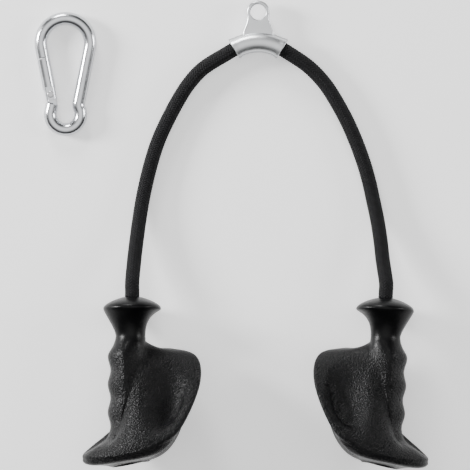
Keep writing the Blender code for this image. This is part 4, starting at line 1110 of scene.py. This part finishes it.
rubber = rubber_finish()
left_rings = handle_rings()
for word, side in (("left", 1), ("right", -1)):
    rings = [[Vector((p.x * side, p.y, p.z)) for p in ring] for ring in left_rings]
    mesh = loft(f"handle_{word}_moulding", rings, closed=True)
    grain = mesh.attributes.new("grain", "FLOAT", "POINT")
    for vertex in mesh.vertices:
        grain.data[vertex.index].value = smooth_step((-vertex.co.y - NECK_DROP) / NECK_DROP)
    mesh.materials.append(rubber)
    handle = add_object(mesh.name, mesh, handle_axes[word])
    # The soft hull's low spots lie flat on the table.
    for vertex in mesh.vertices:
        vertex.co.z = max(vertex.co.z, 0)
    dress(handle, "handle_" + word, word + "_handle")


# The snap hook. One steel bar is bent into a wide bow, two straight limbs and a small eye, and
# its end is pressed to a tongue. The gate is a second length of bar that turns on a rivet
# through the tongue and is snapped shut by a sprung plunger. All of it is zinc plated.
HOOK_LENGTH = 100.0 * MM
HOOK_BAR_RADIUS = 5.0 * MM
HOOK_BOW_RADIUS = 20.0 * MM
HOOK_EYE_RADIUS = 12.3 * MM
HOOK_WAIST_HALF = 8.7 * MM
HOOK_WAIST_ROUND = 2.8 * MM
GATE_TOP_DROP = 12.0 * MM
HOOK_NECK_RUN = 2.2 * MM
GATE_PIVOT_INSET = 4.4 * MM
GATE_LAP_LENGTH = 7.0 * MM
GATE_LAP_DEPTH = 2.6 * MM
GATE_CHEEK_HALF = 4.0 * MM
TONGUE_HALF_THICKNESS = 2.0 * MM
TONGUE_HALF_WIDTH = 3.9 * MM
TONGUE_END = 3.4 * MM
TONGUE_FLAT_HALF = 2.2 * MM
TONGUE_SHOW = 2.8 * MM
RIVET_RADIUS = 1.6 * MM
RIVET_HEAD_RADIUS = 2.6 * MM
RIVET_HEAD_HEIGHT = 0.5 * MM
RIVET_HEAD_STEPS = 6
PLUNGER_RADIUS = 1.9 * MM
PLUNGER_HEAD_LENGTH = 2.2 * MM
PLUNGER_STEM_RADIUS = 0.7 * MM
PLUNGER_STEM_LENGTH = 3.0 * MM
SPRING_WIRE_RADIUS = 0.26 * MM
SPRING_PITCH = 1.7 * MM
SPRING_STEPS = 24
SPRING_SIDES = 10
GATE_BORE_COVER = 4.0 * MM
CUT_OVERRUN = 2.0 * MM
BAR_END_ROUND = 0.5 * MM
AROUND_HOOK_BAR = 56
BEND_STEP = math.radians(3)
LIMB_STEPS = 12
NOSE_SHARES = (0.05, 0.5)
TONGUE_ROOT_SHARE = 0.85
WAIST_STEPS = 10
eye_drop = HOOK_LENGTH - HOOK_BOW_RADIUS - HOOK_EYE_RADIUS - 2 * HOOK_BAR_RADIUS
limb_lean = math.asin((HOOK_BOW_RADIUS - HOOK_WAIST_HALF) / eye_drop)
limb_length = (
    eye_drop * math.cos(limb_lean) - math.sqrt(HOOK_EYE_RADIUS ** 2 - HOOK_WAIST_HALF ** 2)
)
gate_top = (GATE_TOP_DROP - HOOK_BOW_RADIUS * math.sin(limb_lean)) / math.cos(limb_lean)
gate_length = limb_length - gate_top - TONGUE_SHOW - HOOK_NECK_RUN
gate_reach = gate_length - GATE_PIVOT_INSET
gate_seam = math.sqrt((gate_reach - SEAT_GAP) ** 2 - HOOK_BAR_RADIUS ** 2)
hook_low, hook_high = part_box("snap_hook_body")
hook_place = Matrix.Translation((
    (hook_low.x + hook_high.x) / 2, hook_high.y - HOOK_BOW_RADIUS - HOOK_BAR_RADIUS,
    (hook_low.z + hook_high.z) / 2,
))
nose = Vector((-math.cos(limb_lean), -math.sin(limb_lean), 0)) * HOOK_BOW_RADIUS
down_gate = Vector((math.sin(limb_lean), -math.cos(limb_lean), 0))
gate_place = (
    hook_place @ Matrix.Translation(nose + down_gate * (gate_top + gate_reach))
    @ Matrix.Rotation(limb_lean, 4, "Z")
)


def flat_spoke(angle):
    return Vector((math.cos(angle), math.sin(angle), 0))


def hook_line():
    """The bar's centre from the nose, over the bow, round the small eye to the tongue's root."""
    start = Vector((-nose.x, nose.y, 0))
    limb_way = Vector((-down_gate.x, down_gate.y, 0))
    eye = Vector((0, -eye_drop, 0))
    sweep = math.pi + 2 * limb_lean
    bow_steps = round(sweep / BEND_STEP)
    bow = [
        flat_spoke(math.pi + limb_lean - sweep * k / bow_steps) * HOOK_BOW_RADIUS
        for k in range(bow_steps + 1)
    ]

    gap = start - eye
    along = gap.dot(limb_way)
    inside = along ** 2 - gap.length_squared + HOOK_EYE_RADIUS ** 2
    corner = start - limb_way * (along + math.sqrt(max(0, inside)))
    arc_from = math.atan2(corner.y - eye.y, corner.x) - HOOK_WAIST_ROUND / HOOK_EYE_RADIUS
    arc_start = eye + flat_spoke(arc_from) * HOOK_EYE_RADIUS
    limb_end = corner - limb_way * HOOK_WAIST_ROUND
    limb = [start.lerp(limb_end, k / LIMB_STEPS) for k in range(1, LIMB_STEPS)]
    waist = [
        limb_end.lerp(corner, t).lerp(corner.lerp(arc_start, t), t)
        for t in (k / WAIST_STEPS for k in range(WAIST_STEPS + 1))
    ]

    root = nose + down_gate * (limb_length - HOOK_NECK_RUN)
    to_root = root - eye
    leave = math.acos(min(1, HOOK_EYE_RADIUS / to_root.length))
    arc_to = math.atan2(to_root.y, to_root.x) + leave - math.tau
    arc_steps = round((arc_from - arc_to) / BEND_STEP)
    arc = [
        eye + flat_spoke(arc_from + (arc_to - arc_from) * k / arc_steps) * HOOK_EYE_RADIUS
        for k in range(1, arc_steps + 1)
    ]
    nose_end = nose + down_gate * gate_top
    ends = [nose_end] + [nose_end.lerp(nose, share) for share in NOSE_SHARES]
    neck = arc[-1].lerp(root, TONGUE_ROOT_SHARE)
    return ends + bow + limb + waist + arc + [neck, root]


def tongue_blank():
    """The pressed end: its blunt tip stands in the gate's slot and lifts the plunger."""
    sunk = -(GATE_PIVOT_INSET + TONGUE_SHOW + CUT_OVERRUN)
    outline = [
        (-TONGUE_HALF_WIDTH, sunk), (TONGUE_HALF_WIDTH, sunk), (TONGUE_HALF_WIDTH, 0),
        (TONGUE_FLAT_HALF, TONGUE_END), (-TONGUE_FLAT_HALF, TONGUE_END), (-TONGUE_HALF_WIDTH, 0),
    ]
    half, edge = TONGUE_HALF_THICKNESS, EDGE_BREAK
    return loft("tongue", [
        [Vector((x * size, y if y < 0 else y * size, z)) for x, y in outline]
        for z, size in (
            (-half, 1 - edge / TONGUE_HALF_WIDTH), (edge - half, 1),
            (half - edge, 1), (half, 1 - edge / TONGUE_HALF_WIDTH),
        )
    ])


def block(name, low, high):
    shape = bmesh.new()
    size = [high[i] - low[i] for i in range(3)]
    middle = [(high[i] + low[i]) / 2 for i in range(3)]
    bmesh.ops.create_cube(
        shape, size=1, matrix=Matrix.Translation(middle) @ Matrix.Diagonal((*size, 1))
    )
    return add_object(name, finished_mesh(name, shape))


def cross_pin(name, profile):
    """A turned profile laid across the gate, along the rivet."""
    mesh = turned(name, profile, AROUND_HOOK_BAR, closed=False)
    mesh.transform(Matrix.Rotation(math.pi / 2, 4, "X"))
    return add_object(name, mesh)


def rivet_bore(name):
    reach = HOOK_BAR_RADIUS + CUT_OVERRUN
    radius = RIVET_RADIUS + SEAT_GAP
    return cross_pin(name, [(0, -reach), (radius, -reach), (radius, reach), (0, reach)])


def hook_piece(piece, place, finish, node, body):
    """Puts a finished piece of the hook in its place and gives it to its body."""
    piece.data.transform(place)
    piece.data.materials.clear()
    piece.data.materials.append(finish)
    dress(piece, node, body)


reach = HOOK_BAR_RADIUS + CUT_OVERRUN
lap_top = gate_reach + GATE_LAP_LENGTH
lap_side = HOOK_BAR_RADIUS - GATE_LAP_DEPTH

bar_line = hook_line()
bar_radii = [HOOK_BAR_RADIUS] * len(bar_line)
bar_radii[0] = HOOK_BAR_RADIUS - BAR_END_ROUND
bar_radii[-1] = HOOK_BAR_RADIUS - 2 * BAR_END_ROUND
bar_mesh = loft("hook_bar", rings_along(bar_line, bar_radii, AROUND_HOOK_BAR, Vector((0, 0, 1))))
bar_mesh.transform((hook_place.inverted() @ gate_place).inverted())
bar = cut_with(add_object("hook_bar", bar_mesh), [
    (add_object("tongue", tongue_blank()), "UNION"),
    (rivet_bore("rivet_hole"), "DIFFERENCE"),
    (block(
        "nose_notch", (lap_side, gate_reach - CUT_OVERRUN, -reach),
        (reach, lap_top + SEAT_GAP, reach),
    ), "DIFFERENCE"),
])
hook_piece(bar, gate_place, zinc, "snap_hook_body", "snap_hook")

foot = -GATE_PIVOT_INSET
gate_bar = turned("gate_bar", [
    (0, foot), (HOOK_BAR_RADIUS - BAR_END_ROUND, foot), (HOOK_BAR_RADIUS, foot + BAR_END_ROUND),
    (HOOK_BAR_RADIUS, lap_top - BAR_END_ROUND), (HOOK_BAR_RADIUS - BAR_END_ROUND, lap_top),
    (0, lap_top),
], AROUND_HOOK_BAR, closed=False)
slot_half = TONGUE_HALF_THICKNESS + SEAT_GAP
slot_top = math.hypot(TONGUE_END, TONGUE_FLAT_HALF) + SEAT_GAP
plunger_foot = TONGUE_END + SEAT_GAP
bore_top = gate_reach - GATE_BORE_COVER
gate_bore = PLUNGER_RADIUS + SEAT_GAP
below = foot - CUT_OVERRUN
cheek_top = GATE_PIVOT_INSET + CUT_OVERRUN
gate = cut_with(add_object("gate_bar", gate_bar), [
    (block(
        "over_lip", (-reach, gate_seam, -reach), (lap_side + SEAT_GAP, lap_top + reach, reach)
    ), "DIFFERENCE"),
    (block("front_cheek", (-reach, below, GATE_CHEEK_HALF), (reach, cheek_top, reach)),
     "DIFFERENCE"),
    (block("back_cheek", (-reach, below, -reach), (reach, cheek_top, -GATE_CHEEK_HALF)),
     "DIFFERENCE"),
    (block("tongue_slot", (-reach, below, -slot_half), (reach, slot_top, slot_half)),
     "DIFFERENCE"),
    (add_object("plunger_bore", turned("plunger_bore", [
        (0, 0), (gate_bore, 0), (gate_bore, bore_top), (0, bore_top),
    ], AROUND_HOOK_BAR, closed=False)), "DIFFERENCE"),
    (rivet_bore("gate_rivet_hole"), "DIFFERENCE"),
])
hook_piece(gate, gate_place, zinc, "snap_hook_gate", "gate")

steel = mottled_finish(
    "spring_steel", (0.48, 0.48, 0.49), (0.60, 0.60, 0.61), 0.28, 0.5 * MM, 0.01 * MM, 1.0,
)
seat = GATE_CHEEK_HALF + SEAT_GAP
tip = seat + RIVET_HEAD_HEIGHT
head = [
    (RIVET_HEAD_RADIUS * math.cos(turn), seat + RIVET_HEAD_HEIGHT * math.sin(turn))
    for turn in (math.pi / 2 * k / RIVET_HEAD_STEPS for k in range(RIVET_HEAD_STEPS))
]
upper = [(RIVET_RADIUS, seat)] + head + [(0, tip)]
rivet = cross_pin("rivet", [(radius, -height) for radius, height in reversed(upper)] + upper)
hook_piece(rivet, gate_place, steel, "gate_rivet", "snap_hook")

head_top = plunger_foot + PLUNGER_HEAD_LENGTH
stem_top = head_top + PLUNGER_STEM_LENGTH
plunger = add_object("plunger", turned("plunger", broken_edges([
    (0, plunger_foot), (PLUNGER_RADIUS, plunger_foot), (PLUNGER_RADIUS, head_top),
    (PLUNGER_STEM_RADIUS, head_top), (PLUNGER_STEM_RADIUS, stem_top), (0, stem_top),
]), AROUND_HOOK_BAR, closed=False))
hook_piece(plunger, gate_place, steel, "gate_plunger", "plunger")

coil_radius = PLUNGER_RADIUS - SPRING_WIRE_RADIUS
spring_foot = head_top + SEAT_GAP + SPRING_WIRE_RADIUS
spring_room = bore_top - head_top - 2 * SEAT_GAP
spring_turns = max(1, int(spring_room / SPRING_PITCH))
spring_rise = spring_room - 2 * SPRING_WIRE_RADIUS
coils = []
for k in range(spring_turns * SPRING_STEPS + 1):
    turn = math.tau * k / SPRING_STEPS
    spoke = Vector((math.cos(turn), 0, math.sin(turn)))
    height = spring_foot + spring_rise * k / (spring_turns * SPRING_STEPS)
    coils.append([
        spoke * (coil_radius + SPRING_WIRE_RADIUS * math.cos(t))
        + Vector((0, height + SPRING_WIRE_RADIUS * math.sin(t), 0))
        for t in (math.tau * i / SPRING_SIDES for i in range(SPRING_SIDES))
    ])
spring = add_object("spring", loft("spring", coils))
hook_piece(spring, gate_place, steel, "gate_spring", "gate")


# The table and the lights. A plain pale table with a faint glow of its own, a small bright soft
# box low at the left, a dimmer one at the right and a third at the top, in a dark room.
FLOOR_HALF = 3.0
FLOOR_DROP = 0.2 * MM
TABLE_GLOW = 0.55
SOFT_BOXES = [
    ("key_light", (-2.3, 0.7, 0.82), 0.6, 130.0),
    ("fill_light", (2.3, 0.4, 0.9), 0.8, 34.0),
    ("top_light", (-0.6, 2.3, 0.9), 0.7, 50.0),
]


def floor_finish():
    made, shader, add = new_material("pale_table", 0.6)
    place = add.node("ShaderNodeTexCoord", out="Object")
    cloud = add.node("ShaderNodeTexNoise", None, {"Vector": place, "Scale": 3.0, "Detail": 1.0})
    colour = add.node("ShaderNodeValToRGB", {"stops": [
        (0.0, (0.86, 0.86, 0.86)), (1.0, (0.88, 0.88, 0.88)),
    ]}, {"Fac": cloud})
    attach(made, shader, Base_Color=colour)
    shader.inputs["Emission Color"].default_value = (1.0, 1.0, 1.0, 1.0)
    shader.inputs["Emission Strength"].default_value = TABLE_GLOW
    return made


floor_mesh = bpy.data.meshes.new("table")
floor_mesh.from_pydata([
    (x * FLOOR_HALF, y * FLOOR_HALF, -FLOOR_DROP) for x, y in ((-1, -1), (1, -1), (1, 1), (-1, 1))
], [], [(0, 1, 2, 3)])
floor_mesh.materials.append(floor_finish())
add_object("table", floor_mesh)


def soft_box(name, place, size, power):
    """A square soft box that faces the middle of the attachment."""
    light = bpy.data.lights.new(name, "AREA")
    light.shape = "SQUARE"
    light.size = size
    light.energy = power
    box = bpy.data.objects.new(name, light)
    box.location = place
    box.rotation_euler = (-Vector(place)).to_track_quat("-Z", "Y").to_euler()
    scene.collection.objects.link(box)


for name, place, size, power in SOFT_BOXES:
    soft_box(name, place, size, power)


def studio_world():
    """A dark room that is bright only overhead, so that bare metal gets dark and pale bands."""
    made = bpy.data.worlds.new("studio")
    made.use_nodes = True
    add = Wire(made.node_tree)
    way = add.node("ShaderNodeTexCoord", out="Generated")
    height = add.node("ShaderNodeSeparateXYZ", None, {"Vector": way}, "Z")
    room = add.node("ShaderNodeValToRGB", {"stops": [
        (0.0, (0.20, 0.20, 0.20)), (0.3, (0.05, 0.05, 0.05)),
        (0.68, (0.16, 0.16, 0.16)), (0.97, (1.6, 1.6, 1.6)),
    ]}, {"Fac": height})
    background = made.node_tree.nodes["Background"]
    made.node_tree.links.new(room.socket, background.inputs["Color"])
    return made


scene.world = studio_world()
